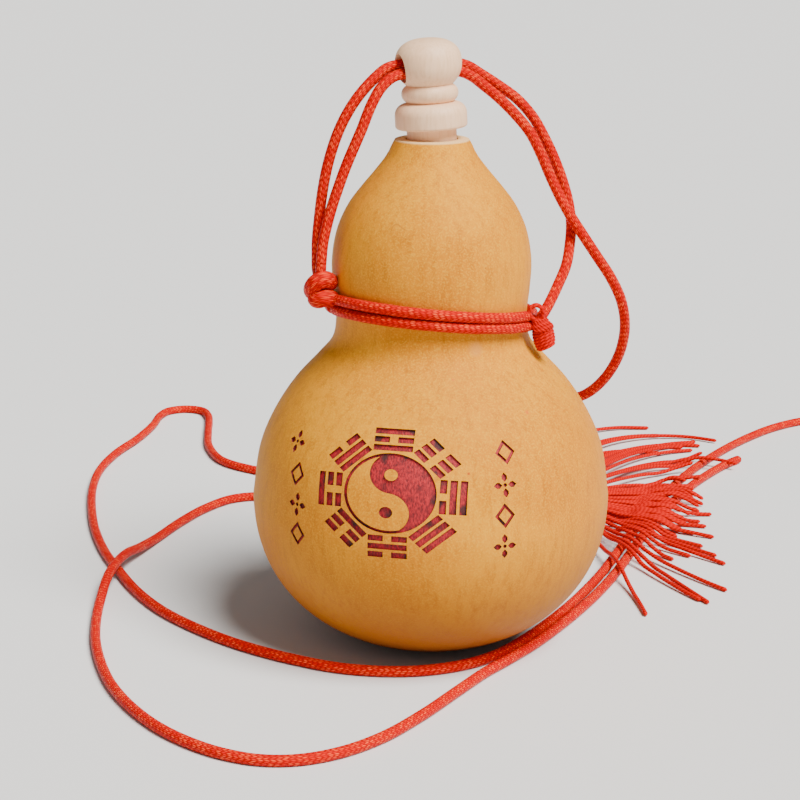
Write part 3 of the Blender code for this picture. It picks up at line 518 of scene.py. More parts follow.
def pick(*pieces):
    """Selects these pieces and nothing else, the first of them active."""
    bpy.ops.object.select_all(action="DESELECT")
    for piece in pieces:
        piece.select_set(True)
    bpy.context.view_layer.objects.active = pieces[0]


def stamp(name, outlines, matrix, material):
    """A straight-sided cutter of flat closed outlines, set on the skin."""
    curve = bpy.data.curves.new(name, "CURVE")
    curve.dimensions = "2D"
    curve.fill_mode = "BOTH"
    curve.extrude = STAMP_REACH * MM
    for outline in outlines:
        spline = curve.splines.new("POLY")
        spline.points.add(len(outline) - 1)
        for point, (x, y) in zip(spline.points, outline):
            point.co = (x * MM, y * MM, 0.0, 1.0)
        spline.use_cyclic_u = True
    cutter = bpy.data.objects.new(name, curve)
    bpy.context.scene.collection.objects.link(cutter)
    pick(cutter)
    bpy.ops.object.convert(target="MESH")
    cutter = bpy.context.object
    cutter.data.transform(matrix)
    cutter.data.materials.clear()
    cutter.data.materials.append(material)
    bpy.ops.object.mode_set(mode="EDIT")
    bpy.ops.mesh.select_all(action="SELECT")
    bpy.ops.mesh.remove_doubles(threshold=MERGE_WITHIN)
    bpy.ops.mesh.normals_make_consistent(inside=False)
    bpy.ops.object.mode_set(mode="OBJECT")
    return cutter


def cut(piece, cutter):
    """Takes the cutter's shape out of the piece, and the cutter's materials onto the cut."""
    pick(piece)
    modifier = piece.modifiers.new("Cut", "BOOLEAN")
    modifier.operation = "DIFFERENCE"
    modifier.object = cutter
    modifier.material_mode = "TRANSFER"
    bpy.ops.object.modifier_apply(modifier="Cut")
    bpy.data.objects.remove(cutter)


# Skin: honey tan with paler and browner clouds, fibres that run up the gourd, lighter flecks
# about 0.4 mm across, pores about 1 mm apart and a low waxed gloss; painted shade browner round the foot
gourd_skin, skin_out = new_material("waxed dried gourd skin")
skin_place = add_node(gourd_skin, "TexCoord").outputs["Object"]
skin_axes = add_node(gourd_skin, "SeparateXYZ", None, {0: skin_place})
clouds = add_node(gourd_skin, "TexNoise", None,
                  {"Vector": skin_place, "Scale": 32.0, "Detail": 3.0, "Roughness": 0.5})
cloud_mix = add_node(gourd_skin, "MapRange", None,
                     {"Value": clouds.outputs[0], "From Min": 0.38, "From Max": 0.64})
cloud_colour = add_node(gourd_skin, "Mix", {"data_type": "RGBA"},
                        {0: cloud_mix.outputs[0], 6: from_hex("#CA7A06"), 7: from_hex("#DC900C")})
fibre_place = add_node(gourd_skin, "Mapping", None,
                       {"Vector": skin_place, "Scale": (1.0, 1.0, 0.16)})
fibres = add_node(gourd_skin, "TexNoise", None,
                  {"Vector": fibre_place.outputs[0], "Scale": 600.0, "Detail": 4.0, "Roughness": 0.65})
fibre_mix = add_node(gourd_skin, "MapRange", None,
                     {"Value": fibres.outputs[0], "From Min": 0.46, "From Max": 0.7, "To Max": 0.6})
fibre_colour = add_node(gourd_skin, "Mix", {"data_type": "RGBA"},
                        {0: fibre_mix.outputs[0], 6: cloud_colour.outputs[2], 7: from_hex("#B06406")})
mottle = add_node(gourd_skin, "TexNoise", None,
                  {"Vector": skin_place, "Scale": 2300.0, "Detail": 2.0, "Roughness": 0.6})
mottle_mix = add_node(gourd_skin, "MapRange", None,
                      {"Value": mottle.outputs[0], "From Min": 0.46, "From Max": 0.66, "To Max": 0.45})
mottle_colour = add_node(gourd_skin, "Mix", {"data_type": "RGBA"},
                         {0: mottle_mix.outputs[0], 6: fibre_colour.outputs[2], 7: from_hex("#ECAC2A")})
# Painted shade: the skin is coloured browner towards the foot, where less light falls from above
painted_foot_shade = add_node(gourd_skin, "MapRange", {"interpolation_type": "SMOOTHSTEP"},
                    {"Value": skin_axes.outputs[2], "From Min": FOOT_PAINTED_SHADE * MM, "From Max": 0.0,
                     "To Max": 0.9})
foot_shaded_colour = add_node(gourd_skin, "Mix", {"data_type": "RGBA"},
                       {0: painted_foot_shade.outputs[0], 6: mottle_colour.outputs[2], 7: from_hex("#84400E")})
pores = add_node(gourd_skin, "TexVoronoi", None, {"Vector": skin_place, "Scale": 900.0})
pore_mix = add_node(gourd_skin, "MapRange", None,
                    {"Value": pores.outputs["Distance"], "From Min": 0.16, "From Max": 0.05,
                     "To Max": 0.5})
pore_colour = add_node(gourd_skin, "Mix", {"data_type": "RGBA"},
                       {0: pore_mix.outputs[0], 6: foot_shaded_colour.outputs[2], 7: from_hex("#96541A")})
# A few hair scratches from sanding, which wander and fade in and out
scratch_place = add_node(gourd_skin, "Mapping", None,
                         {"Vector": skin_place, "Rotation": (0.5, 0.9, 0.3), "Scale": (1.0, 1.0, 0.25)})
scratch_field = add_node(gourd_skin, "TexNoise", None,
                         {"Vector": scratch_place.outputs[0], "Scale": 70.0, "Detail": 1.0})
scratch_off = add_node(gourd_skin, "Math", {"operation": "SUBTRACT"},
                       {0: scratch_field.outputs[0], 1: 0.56})
scratch_far = add_node(gourd_skin, "Math", {"operation": "ABSOLUTE"}, {0: scratch_off.outputs[0]})
scratch_line = add_node(gourd_skin, "MapRange", None,
                        {"Value": scratch_far.outputs[0], "From Min": 0.0022, "From Max": 0.0006})
scratch_gaps = add_node(gourd_skin, "TexNoise", None,
                        {"Vector": skin_place, "Scale": 130.0, "Detail": 1.0})
scratch_shown = add_node(gourd_skin, "MapRange", None,
                         {"Value": scratch_gaps.outputs[0], "From Min": 0.55, "From Max": 0.65,
                          "To Max": 0.5})
scratch_mix = add_node(gourd_skin, "Math", {"operation": "MULTIPLY"},
                       {0: scratch_line.outputs[0], 1: scratch_shown.outputs[0]})
scratched = add_node(gourd_skin, "Mix", {"data_type": "RGBA"},
                     {0: scratch_mix.outputs[0], 6: pore_colour.outputs[2], 7: from_hex("#A8621E")})
last_colour = scratched
# Small natural blemishes on the front, at the places of the real ones
for blemish_place, blemish_size, blemish_shade in BLEMISHES:
    blemish_far = add_node(gourd_skin, "VectorMath", {"operation": "DISTANCE"},
                           {0: skin_place, 1: [v * MM for v in blemish_place]})
    blemish_mix = add_node(gourd_skin, "MapRange", {"interpolation_type": "SMOOTHSTEP"},
                           {"Value": blemish_far.outputs["Value"], "From Min": blemish_size * MM,
                            "From Max": blemish_size * MM * BLEMISH_CORE, "To Max": 0.7})
    last_colour = add_node(gourd_skin, "Mix", {"data_type": "RGBA"},
                           {0: blemish_mix.outputs[0], 6: last_colour.outputs[2],
                            7: from_hex(blemish_shade)})
rim_mix = add_node(gourd_skin, "MapRange", None,
                   {"Value": skin_axes.outputs[2], "From Min": RIM_PALE[0] * MM,
                    "From Max": RIM_PALE[1] * MM})
skin_colour = add_node(gourd_skin, "Mix", {"data_type": "RGBA"},
                       {0: rim_mix.outputs[0], 6: last_colour.outputs[2], 7: from_hex("#E6BE84")})
skin_rough = add_node(gourd_skin, "MapRange", None,
                      {"Value": mottle.outputs[0], "From Min": 0.3, "From Max": 0.7, "To Min": 0.5,
                       "To Max": 0.66})
swells = add_node(gourd_skin, "TexNoise", None, {"Vector": skin_place, "Scale": 140.0, "Detail": 2.0})
swell_bump = add_node(gourd_skin, "Bump", None,
                      {"Strength": 0.35, "Distance": 0.0004, "Height": swells.outputs[0]})
grain_bump = add_node(gourd_skin, "Bump", None,
                      {"Strength": 0.45, "Distance": 0.0001, "Height": mottle.outputs[0],
                       "Normal": swell_bump.outputs[0]})
skin_shader = add_node(gourd_skin, "BsdfPrincipled", None,
                       {"Base Color": skin_colour.outputs[2], "Roughness": skin_rough.outputs[0],
                        "Specular IOR Level": 0.25, "Specular Tint": from_hex("#FFC070"),
                        "Normal": grain_bump.outputs[0]})
gourd_skin.node_tree.links.new(skin_shader.outputs[0], skin_out.inputs[0])

# Dyed floor of the engraving: rough burnt fibres under a dull red dye, lighter where the laser
# lines, about 0.4 mm apart, left ridges, and near black where it burnt deepest
dyed_floor, dyed_out = new_material("red dyed laser-cut gourd")
dyed_place = add_node(dyed_floor, "TexCoord").outputs["Object"]
raster_place = add_node(dyed_floor, "Mapping", None,
                        {"Vector": dyed_place, "Scale": (1.0, 1.0, 0.35)})
raster = add_node(dyed_floor, "TexNoise", None,
                  {"Vector": raster_place.outputs[0], "Scale": 2600.0, "Detail": 2.0, "Roughness": 0.6})
raster_mix = add_node(dyed_floor, "MapRange", None,
                      {"Value": raster.outputs[0], "From Min": 0.36, "From Max": 0.66})
raster_colour = add_node(dyed_floor, "Mix", {"data_type": "RGBA"},
                         {0: raster_mix.outputs[0], 6: from_hex("#6A0008"), 7: from_hex("#B80C1A")})
burns = add_node(dyed_floor, "TexNoise", None, {"Vector": dyed_place, "Scale": 260.0, "Detail": 1.0})
burn_mix = add_node(dyed_floor, "MapRange", None,
                    {"Value": burns.outputs[0], "From Min": 0.56, "From Max": 0.68, "To Max": 0.9})
dyed_colour = add_node(dyed_floor, "Mix", {"data_type": "RGBA"},
                       {0: burn_mix.outputs[0], 6: raster_colour.outputs[2], 7: from_hex("#2E0808")})
dyed_bump = add_node(dyed_floor, "Bump", None,
                     {"Strength": 0.6, "Distance": 0.0002, "Height": raster.outputs[0]})
dyed_shader = add_node(dyed_floor, "BsdfPrincipled", None,
                       {"Base Color": dyed_colour.outputs[2], "Roughness": 0.7,
                        "Normal": dyed_bump.outputs[0]})
dyed_floor.node_tree.links.new(dyed_shader.outputs[0], dyed_out.inputs[0])

# Scorched wall: the cut's sides, brown-black from the laser with dye run into them
scorched_wall, scorched_out = new_material("scorched gourd edge")
scorch_place = add_node(scorched_wall, "TexCoord").outputs["Object"]
scorch = add_node(scorched_wall, "TexNoise", None,
                  {"Vector": scorch_place, "Scale": 1200.0, "Detail": 2.0})
scorch_colour = add_node(scorched_wall, "Mix", {"data_type": "RGBA"},
                         {0: scorch.outputs[0], 6: from_hex("#2E0A0A"), 7: from_hex("#8A1A1C")})
scorched_shader = add_node(scorched_wall, "BsdfPrincipled", None,
                           {"Base Color": scorch_colour.outputs[2], "Roughness": 0.75})
scorched_wall.node_tree.links.new(scorched_shader.outputs[0], scorched_out.inputs[0])

skin = skin_outline(SKIN_STEP)
inner_skin = inset(skin_outline(HOLLOW_STEP, HOLLOW_RINGS), WALL)
hollow = [(r, z) for r, z in inner_skin if r > NECK_RADIUS and z > WALL]
rim = [(NECK_RADIUS, MOUTH_HEIGHT), (skin[0][0] - RIM_ROUND, MOUTH_HEIGHT),
       (skin[0][0] - RIM_EDGE, MOUTH_HEIGHT - RIM_EDGE)]
foot = [(SCAR_RADIUS * 2, 0.0), (SCAR_RADIUS, 0.0), (SCAR_RADIUS * 0.5, SCAR_DEPTH * 0.7),
        (0.0, SCAR_DEPTH)]
skin_rows = [(r, z) for r, z in skin if z < MOUTH_HEIGHT - RIM_ROUND]
shell_outline = [(0.0, WALL)] + hollow[::-1] + rim + skin_rows + foot
gourd = turned_piece("gourd_shell", shell_outline, GOURD_STEPS, gourd_skin)

mouth = Matrix.Translation((0.0, 0.0, MOUTH_HEIGHT * MM))
stopper_frame = mouth @ Matrix.Rotation(-STOPPER_LEAN, 4, "Y")
bpy.ops.object.select_all(action="DESELECT")
bpy.ops.mesh.primitive_cylinder_add(vertices=BORE_STEPS, radius=BORE_RADIUS * MM,
                                    depth=(BORE_DEPTH + BORE_ABOVE) * MM)
bore = bpy.context.object
bore.data.transform(stopper_frame @ Matrix.Translation((0.0, 0.0, (BORE_ABOVE - BORE_DEPTH) / 2 * MM)))
bore.data.materials.append(gourd_skin)
cut(gourd, bore)

core_outline = [(0.0, MOUTH_HEIGHT)] + inset(skin, RECESS) + [(0.0, RECESS)]
sign_frame = skin_frame(SIGN_AZIMUTH, SIGN_HEIGHT, skin)[0]
sign_size = (SIGN_HALF_WIDTH, SIGN_HALF_HEIGHT)
groups = [("round sign", round_sign(), sign_frame, sign_size),
          ("eight signs", trigram_bars(), sign_frame, sign_size)]
for mark_column, (across, heights) in enumerate(MARK_COLUMNS):
    for mark_row, mark_height in enumerate(heights):
        skin_radius = skin_frame(0.0, mark_height, skin)[1]
        mark_frame = skin_frame(math.asin(across / skin_radius), mark_height, skin)[0]
        mark = flower_mark() if (mark_row + mark_column) % 2 == 0 else lozenge_mark()
        groups.append((f"mark {mark_column} {mark_row}", mark, mark_frame, (1.0, 1.0)))
stamps = []
for group_name, outlines, group_frame, (wide, high) in groups:
    sized = [[(x * wide, y * high) for x, y in outline] for outline in outlines]
    stamps.append(stamp(group_name, sized, group_frame, scorched_wall))
pick(*stamps)
bpy.ops.object.join()
all_stamps = bpy.context.object
core = turned_piece("recess floor", core_outline, GOURD_STEPS, dyed_floor)
cut(all_stamps, core)
cut(gourd, all_stamps)
gourd.data.shade_smooth()
pick(gourd)
bpy.ops.object.shade_smooth_by_angle(angle=math.radians(35.0))
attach(gourd, "root")
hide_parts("gourd")

# Stopper
# Pale close-grained wood, perhaps beech or maple, turned on a lathe in one piece and sanded but
# left bare: a shank pushed into the mouth, a collar, a bead and a ball with a hole across it.
STOPPER_STEPS = 96
SHANK_RADIUS = 5.7
SHANK_DEPTH = 12.0
COLLAR_RADIUS = 8.25
COLLAR_ROUND = 2.6
COLLAR_BOTTOM = 2.5
COLLAR_TOP = 8.2
EDGE = 0.7
BEAD_RADIUS = 6.5
BEAD_TOP = 12.4
BALL_RADIUS = 7.6
BALL_CENTRE = 16.9
BALL_UP = 5.8
BALL_DOWN = 6.45
BALL_ROUNDNESS = 2.5
HOLE_RADIUS = 3.2
HOLE_HEIGHT = 15.9
HOLE_TURN = math.radians(20.0)
HOLE_OFFSET = -0.85
HOLE_STEPS = 48
# Half the hole: straight this far from its middle, and flared by radius and distance beyond
HOLE_STRAIGHT = 6.2
HOLE_FLARE = [(4.1, 12.0), (3.55, 7.8), (3.35, 7.2), (3.23, 6.7)]

# Bare turned wood: pinkish cream, with short darker pore lines 0.1 to 0.3 mm wide along the
# grain, which runs up the stopper, and faint clouds between them
bare_wood, wood_out = new_material("bare turned beech")
wood_place = add_node(bare_wood, "TexCoord").outputs["Object"]
grain_place = add_node(bare_wood, "Mapping", None,
                       {"Vector": wood_place, "Scale": (1.0, 1.0, 0.12)})
grain = add_node(bare_wood, "TexNoise", None,
                 {"Vector": grain_place.outputs[0], "Scale": 1500.0, "Detail": 4.0, "Roughness": 0.6})
grain_mix = add_node(bare_wood, "MapRange", None,
                     {"Value": grain.outputs[0], "From Min": 0.45, "From Max": 0.75, "To Max": 0.6})
wood_clouds = add_node(bare_wood, "TexNoise", None,
                       {"Vector": wood_place, "Scale": 180.0, "Detail": 3.0})
wood_body = add_node(bare_wood, "Mix", {"data_type": "RGBA"},
                     {0: wood_clouds.outputs[0], 6: from_hex("#ECBC90"), 7: from_hex("#F6CDA4")})
wood_colour = add_node(bare_wood, "Mix", {"data_type": "RGBA"},
                       {0: grain_mix.outputs[0], 6: wood_body.outputs[2], 7: from_hex("#DCA97C")})
wood_bump = add_node(bare_wood, "Bump", None,
                     {"Strength": 0.3, "Distance": 0.0001, "Height": grain.outputs[0]})
wood_shader = add_node(bare_wood, "BsdfPrincipled", None,
                       {"Base Color": wood_colour.outputs[2], "Roughness": 0.56,
                        "Normal": wood_bump.outputs[0]})
bare_wood.node_tree.links.new(wood_shader.outputs[0], wood_out.inputs[0])

ball = [(BALL_RADIUS * r ** (2 / BALL_ROUNDNESS), BALL_CENTRE + BALL_UP * z ** (2 / BALL_ROUNDNESS))
        for z, r in arc(1.0, 0.0, 89.0, 24)]
low_turn = math.degrees(math.asin((BALL_CENTRE - BEAD_TOP) / BALL_DOWN))
ball += [(BALL_RADIUS * r, BALL_CENTRE - BALL_DOWN * z) for r, z in arc(1.0, 3.0, low_turn, 14)]
bead_mid = (COLLAR_TOP + BEAD_TOP) / 2
bead_half = (BEAD_TOP - COLLAR_TOP) / 2
bead = [(BEAD_RADIUS - bead_half + r, bead_mid + z) for r, z in arc(bead_half, 66, -66, 14)]
shoulder = [(COLLAR_RADIUS - COLLAR_ROUND + r, COLLAR_TOP - COLLAR_ROUND + z)
            for r, z in arc(COLLAR_ROUND, 90, 0, 12)]
lower_edge = [(COLLAR_RADIUS - EDGE + r, COLLAR_BOTTOM + EDGE + z)
              for r, z in arc(EDGE, 0, -90, 6)]
stopper_outline = ball + bead + shoulder + lower_edge
stopper_outline += [(SHANK_RADIUS, COLLAR_BOTTOM), (SHANK_RADIUS, EDGE - SHANK_DEPTH)]
stopper_outline += [(SHANK_RADIUS - EDGE, -SHANK_DEPTH), (0.0, -SHANK_DEPTH)]
stopper = turned_piece("turned_stopper", stopper_outline, STOPPER_STEPS, bare_wood)
stopper.data.transform(stopper_frame)
hole_half = [(0.0, HOLE_FLARE[0][1])] + HOLE_FLARE + [(HOLE_RADIUS, HOLE_STRAIGHT)]
hole_outline = hole_half + [(r, -z) for r, z in hole_half[::-1]]
hole = turned_piece("cross hole", hole_outline, HOLE_STEPS, bare_wood)
hole_middle = Vector((HOLE_OFFSET, 0.0, MOUTH_HEIGHT + HOLE_HEIGHT)) * MM
across_ball = Matrix.Rotation(HOLE_TURN, 4, "Z") @ Matrix.Rotation(math.pi / 2, 4, "Y")
hole.data.transform(Matrix.Translation(hole_middle) @ across_ball)
cut(stopper, hole)
pick(stopper)
bpy.ops.object.shade_smooth_by_angle(angle=math.radians(40.0))
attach(stopper, "root")
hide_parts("stopper")

# Waist band
# One doubled cord drawn tight round the narrowest part of the gourd, its two strands side by
# side, the ends hidden in the knot at the left.
BAND_LIFT = CORD_RADIUS + 0.1
BAND_HEIGHT = 80.2
BAND_RISE_RIGHT = -2.2
BAND_RISE_BACK = -2.6
BAND_HALF_SPACING = 1.3
BAND_SPAN = (-161.0, 197.0)
BAND_POINTS = 90

for level, side_sign in (("upper", 1), ("lower", -1)):
    band = []
    for i in range(BAND_POINTS + 1):
        band_turn = math.radians(BAND_SPAN[0] + (BAND_SPAN[1] - BAND_SPAN[0]) * i / BAND_POINTS)
        band_height = (BAND_HEIGHT + BAND_RISE_RIGHT * math.cos(band_turn)
                       + BAND_RISE_BACK * math.sin(band_turn) + side_sign * BAND_HALF_SPACING)
        band_frame = skin_frame(band_turn + math.pi / 2, band_height, skin)[0]
        band.append(band_frame @ Vector((0.0, 0.0, BAND_LIFT * MM)) / MM)
    strand = swept(smooth_route(band, RING_STEP), CORD_RADIUS, CORD_SIDES, PLAIT_RELIEF)
    strands_piece(f"waist_strand_{level}", [strand], satin_cord,
                  [f"waist_cord_front_{level}", f"waist_cord_back_{level}"])

# Knots
# The left and back ones are overhand knots of the same cord pulled tight. The one at the right
# is a whipping: fine thread wound over the cords' meeting point, with a small loop left over.
LEFT_KNOT = Vector((-25.9, -8.3, 86.7))
RIGHT_KNOT = Vector((25.5, -8.0, 76.3))
BACK_KNOT = Vector((0.0, 29.3, 75.5))
LOBE_RADIUS = 2.0
KNOT_CORE = 2.2


def knot_part(centre, offsets, radius, rounded=(True, True)):
    """One lobe of a knot, the doubled cord pressed together, or a single cord out of it."""
    double = radius > CORD_RADIUS
    return swept(smooth_route([centre + Vector(p) for p in offsets], RING_STEP), radius,
                 CORD_SIDES * (2 if double else 1), PLAIT_RELIEF,
                 columns=PLAIT_COLUMNS * (2 if double else 1), rounded=rounded)


left_lobes = [
    knot_part(LEFT_KNOT, [(2.5, 1.4, 0.3), (2.4, -0.5, 1.8), (1.1, -1.9, 2.4), (-0.4, -1.9, 1.7),
                          (-1.3, -0.8, 0.4), (-1.4, 0.9, -0.9), (-0.4, 1.9, -1.9)], LOBE_RADIUS),
    knot_part(LEFT_KNOT, [(-1.2, 0.0, -1.7), (-0.2, -1.8, -2.3), (1.3, -2.5, -1.9), (2.7, -1.7, -2.1),
                          (3.3, 0.1, -2.9)], LOBE_RADIUS),
    knot_part(LEFT_KNOT, [(0.2, 0.6, 2.6), (0.4, 0.4, 0.0), (0.6, 0.6, -3.0)], KNOT_CORE),
]
for tether_route, inside in ((TETHER_OUTER, [(0.2, 0.6, 1.0), (-0.1, 1.1, 2.8), (-0.35, 1.55, 4.2)]),
                             (TETHER_INNER, [(0.3, -0.2, 1.4), (0.45, -0.9, 3.0), (0.6, -1.25, 4.4)])):
    meeting = Vector(tether_route[0]) - LEFT_KNOT
    left_lobes.append(knot_part(LEFT_KNOT, inside + [meeting], CORD_RADIUS, (True, False)))
strands_piece("left_overhand_knot", left_lobes, satin_cord, ["knot_left"])

back_lobes = [
    knot_part(BACK_KNOT, [(2.4, -0.9, -0.6), (2.5, 0.5, 0.6), (1.2, 1.8, 1.6), (-0.8, 1.8, 1.7),
                          (-2.2, 0.6, 0.6), (-2.2, -0.8, -0.8)], LOBE_RADIUS),
    knot_part(BACK_KNOT, [(-2.0, -0.4, -1.0), (-0.9, 1.4, -1.9), (0.9, 1.7, -1.7), (2.1, 0.4, -1.1)],
              LOBE_RADIUS),
    knot_part(BACK_KNOT, [(0.2, 0.0, 2.4), (0.0, 0.0, 0.0), (0.0, 0.2, -2.6)], KNOT_CORE),
]
for cord_start in (TETHER_INNER[-1], STRAP_LONG_TAIL[0], STRAP_SHORT_TAIL[0], TASSEL_CORD[0]):
    meeting = Vector(cord_start) - BACK_KNOT
    inside = [meeting * 0.2, meeting * 0.6]
    back_lobes.append(knot_part(BACK_KNOT, inside + [meeting], CORD_RADIUS, (True, False)))
strands_piece("back_overhand_knot", back_lobes, satin_cord, ["knot_back"])

# Thread: dull rayon of two plies twisted together, which show as slanted streaks 1.2 mm apart, with
# painted shade in the grooves between plies
THREAD_PITCH = 1.2
THREAD_PLIES = 2
THREAD_STEP = 0.3
THREAD_SIDES = 8
TURN_STEPS = 16
thread_rayon, thread_out = new_material("twisted rayon thread")
thread_uv = add_node(thread_rayon, "TexCoord").outputs["UV"]
thread_axes = add_node(thread_rayon, "SeparateXYZ", None, {0: thread_uv})
plies = add_node(thread_rayon, "Math", {"operation": "MULTIPLY"},
                 {0: thread_axes.outputs[1], 1: THREAD_PLIES})
ply_turn = add_node(thread_rayon, "Math", {"operation": "MULTIPLY_ADD"},
                    {0: thread_axes.outputs[0], 1: UV_UNIT / THREAD_PITCH, 2: plies.outputs[0]})
ply_wave = add_node(thread_rayon, "Math", {"operation": "PINGPONG"},
                    {0: ply_turn.outputs[0], 1: 0.5})
ply_mix = add_node(thread_rayon, "MapRange", None,
                   {"Value": ply_wave.outputs[0], "From Min": 0.04, "From Max": 0.4})
thread_place = add_node(thread_rayon, "TexCoord").outputs["Object"]
thread_shade = add_node(thread_rayon, "TexNoise", None,
                        {"Vector": thread_place, "Scale": 240.0, "Detail": 2.0})
thread_body = add_node(thread_rayon, "Mix", {"data_type": "RGBA"},
                       {0: thread_shade.outputs[0], 6: from_hex("#BE0200"), 7: from_hex("#E60E02")})
# Painted shade: deeper red where the plies meet, for the shade in the groove between them
thread_colour = add_node(thread_rayon, "Mix", {"data_type": "RGBA"},
                         {0: ply_mix.outputs[0], 6: from_hex("#AA0200"), 7: thread_body.outputs[2]})
thread_bump = add_node(thread_rayon, "Bump", None,
                       {"Strength": 0.6, "Distance": 0.00006, "Height": ply_mix.outputs[0]})
thread_shader = add_node(thread_rayon, "BsdfPrincipled", None,
                         {"Base Color": thread_colour.outputs[2], "Roughness": 0.5,
                          "Specular IOR Level": 0.15, "Specular Tint": from_hex("#FF5030"),
                          "Normal": thread_bump.outputs[0]})
thread_rayon.node_tree.links.new(thread_shader.outputs[0], thread_out.inputs[0])

WHIP_THREAD = 0.36
WHIP_TURNS = 10
WHIP_HALF = 4.0
WHIP_RADIUS = 2.3
WHIP_LEAN = math.radians(15.0)
WHIP_END = 0.5
WHIP_SLANT = 0.45
WHIP_TAPER = 0.6
WHIP_WIDEST = -0.25
WHIP_CORE = 1.5
# Threads over the windings: the turn where each starts, and its further turn, height and reach
OVER_STARTS = (-2.9, -2.6, -2.3, -2.0, -1.7, -1.4, -1.1)
OVER_PATH = ((0.0, 4.3, 0.8), (0.0, 3.7, 1.6), (0.3, 2.6, 2.25), (0.7, 1.4, 2.6), (1.0, 0.5, 2.45))
# The small loop of two thicker threads side by side, its points set out from the knot's middle
LOOP_RADIUS = 0.5
LOOP_SPACING = 0.55
LOOP_PATH = (
    (-1.6, -1.0, 3.0), (-2.8, -1.5, 4.0), (-3.3, -1.7, 5.2), (-2.8, -1.8, 6.4), (-1.6, -1.8, 6.8),
    (-0.5, -1.6, 6.1), (-0.1, -1.3, 4.8), (-0.5, -1.0, 3.2),
)
whip_frame = Matrix.Rotation(-WHIP_LEAN, 3, "Y")


def whip_point(turn, height, reach):
    """A place on the whipping, from its own leaned axis."""
    return RIGHT_KNOT + whip_frame @ Vector((reach * math.cos(turn), reach * math.sin(turn), height))


winding = []
for i in range(WHIP_TURNS * TURN_STEPS + 1):
    level = 1.0 - 2.0 * i / (WHIP_TURNS * TURN_STEPS)
    turn = 2.0 * math.pi * i / TURN_STEPS
    girth = WHIP_RADIUS * math.sqrt(1.0 - WHIP_TAPER * (level - WHIP_WIDEST) ** 2)
    slant = WHIP_SLANT * math.cos(turn)
    winding.append(whip_point(turn, level * (WHIP_HALF - WHIP_END) + slant, girth))
whipping = [swept(smooth_route(winding, THREAD_STEP), WHIP_THREAD, THREAD_SIDES)]
for start in OVER_STARTS:
    over = [whip_point(start + turn, height, reach) for turn, height, reach in OVER_PATH]
    whipping.append(swept(smooth_route(over, THREAD_STEP), WHIP_THREAD, THREAD_SIDES))
core_line = [whip_point(0.0, height, 0.0) for height in (WHIP_HALF - 0.1, 0.0, 0.1 - WHIP_HALF)]
whipping.append(swept(smooth_route(core_line, 0.4), WHIP_CORE, 12))
for offset in (0.0, LOOP_SPACING):
    loop = [RIGHT_KNOT + Vector((x, y - offset, z)) for x, y, z in LOOP_PATH]
    whipping.append(swept(smooth_route(loop, THREAD_STEP), LOOP_RADIUS, THREAD_SIDES))
strands_piece("right_whipping", whipping, thread_rayon, ["knot_right"])
tether_tuck = [Vector(TETHER_OUTER[-1]) - RIGHT_KNOT, (-0.7, -0.2, 3.0), (-0.8, -0.4, 1.4)]
right_end = knot_part(RIGHT_KNOT, tether_tuck, CORD_RADIUS, (False, True))
strands_piece("right_cord_end", [right_end], satin_cord, [])

# Tassel
# Twisted rayon threads hung in one bundle from the cord's end, their head bound with the same
# thread, and their skirt fanned out over the strap where it was laid down.
HEAD_START = 28.0
HEAD_LENGTH = 14.0
HEAD_RADIUS = 4.1
HEAD_Y = 88.0
HEAD_Z = 4.6
HEAD_TURNS = 13
HEAD_THREAD = 0.52
HEAD_TAPER = 0.9
HEAD_CORE = 3.2
BINDING_START = HEAD_START + 0.8
BINDING_LENGTH = HEAD_LENGTH - 1.2
SKIRT_START = HEAD_START + HEAD_LENGTH
SKIRT_TUCK = 1.5
SKIRT_HALF_WIDTH = 2.4
SKIRT_LOW = 1.4
SKIRT_HIGH = 3.4
THREAD_RADIUS = 0.6
THREAD_GAP = 0.1
THREAD_RELIEF = 0.05
THREAD_COUNT = 52
THREAD_POINTS = 12
# The threads leave the head in a fan from front to back, more of them to the back, and are the
# longer the more they point to a side; those at the back bend round and run on to the right
THREAD_FAN = (math.radians(-84.0), math.radians(79.0))
THREAD_CROWDING = 0.7
THREAD_STRAY = 0.15
FRONT_BEND = (0.8, 1.1)
BACK_SPREAD = 1.2
BACK_BEND = (-0.6, 0.45)
THREAD_LAYERS = (0.2, 1.0)
THREAD_AHEAD = 36.0
THREAD_MORE_FRONT = 48.0
THREAD_MORE_BACK = 84.0
THREAD_LENGTHS = (0.75, 1.15)
THREAD_ARCH = 2.6
THREAD_LIFT = 3.7
THREAD_CLEAR = 9.0
THREAD_SLOPE = 8.0
THREAD_SEED = 11
SKIRT_STEP = 0.6

binding = []
for i in range(HEAD_TURNS * TURN_STEPS + 1):
    level = i / (HEAD_TURNS * TURN_STEPS)
    turn = 2.0 * math.pi * i / TURN_STEPS
    swell = HEAD_RADIUS - HEAD_THREAD - HEAD_TAPER * abs(2.0 * level - 1.0) ** 4
    binding.append(Vector((BINDING_START + BINDING_LENGTH * level,
                           HEAD_Y + swell * math.cos(turn), HEAD_Z + swell * math.sin(turn))))
head_core = [Vector((HEAD_START + x, HEAD_Y, HEAD_Z)) for x in (0.2, 4.0, 8.0, 13.9)]
head_parts = [swept(smooth_route(binding, 0.4), HEAD_THREAD, THREAD_SIDES),
              swept(smooth_route(head_core, 0.5), HEAD_CORE, 24)]
tassel_head = strands_piece("bound_tassel_head", head_parts, thread_rayon,
                            ["tassel_head"])

draw = random.Random(THREAD_SEED)
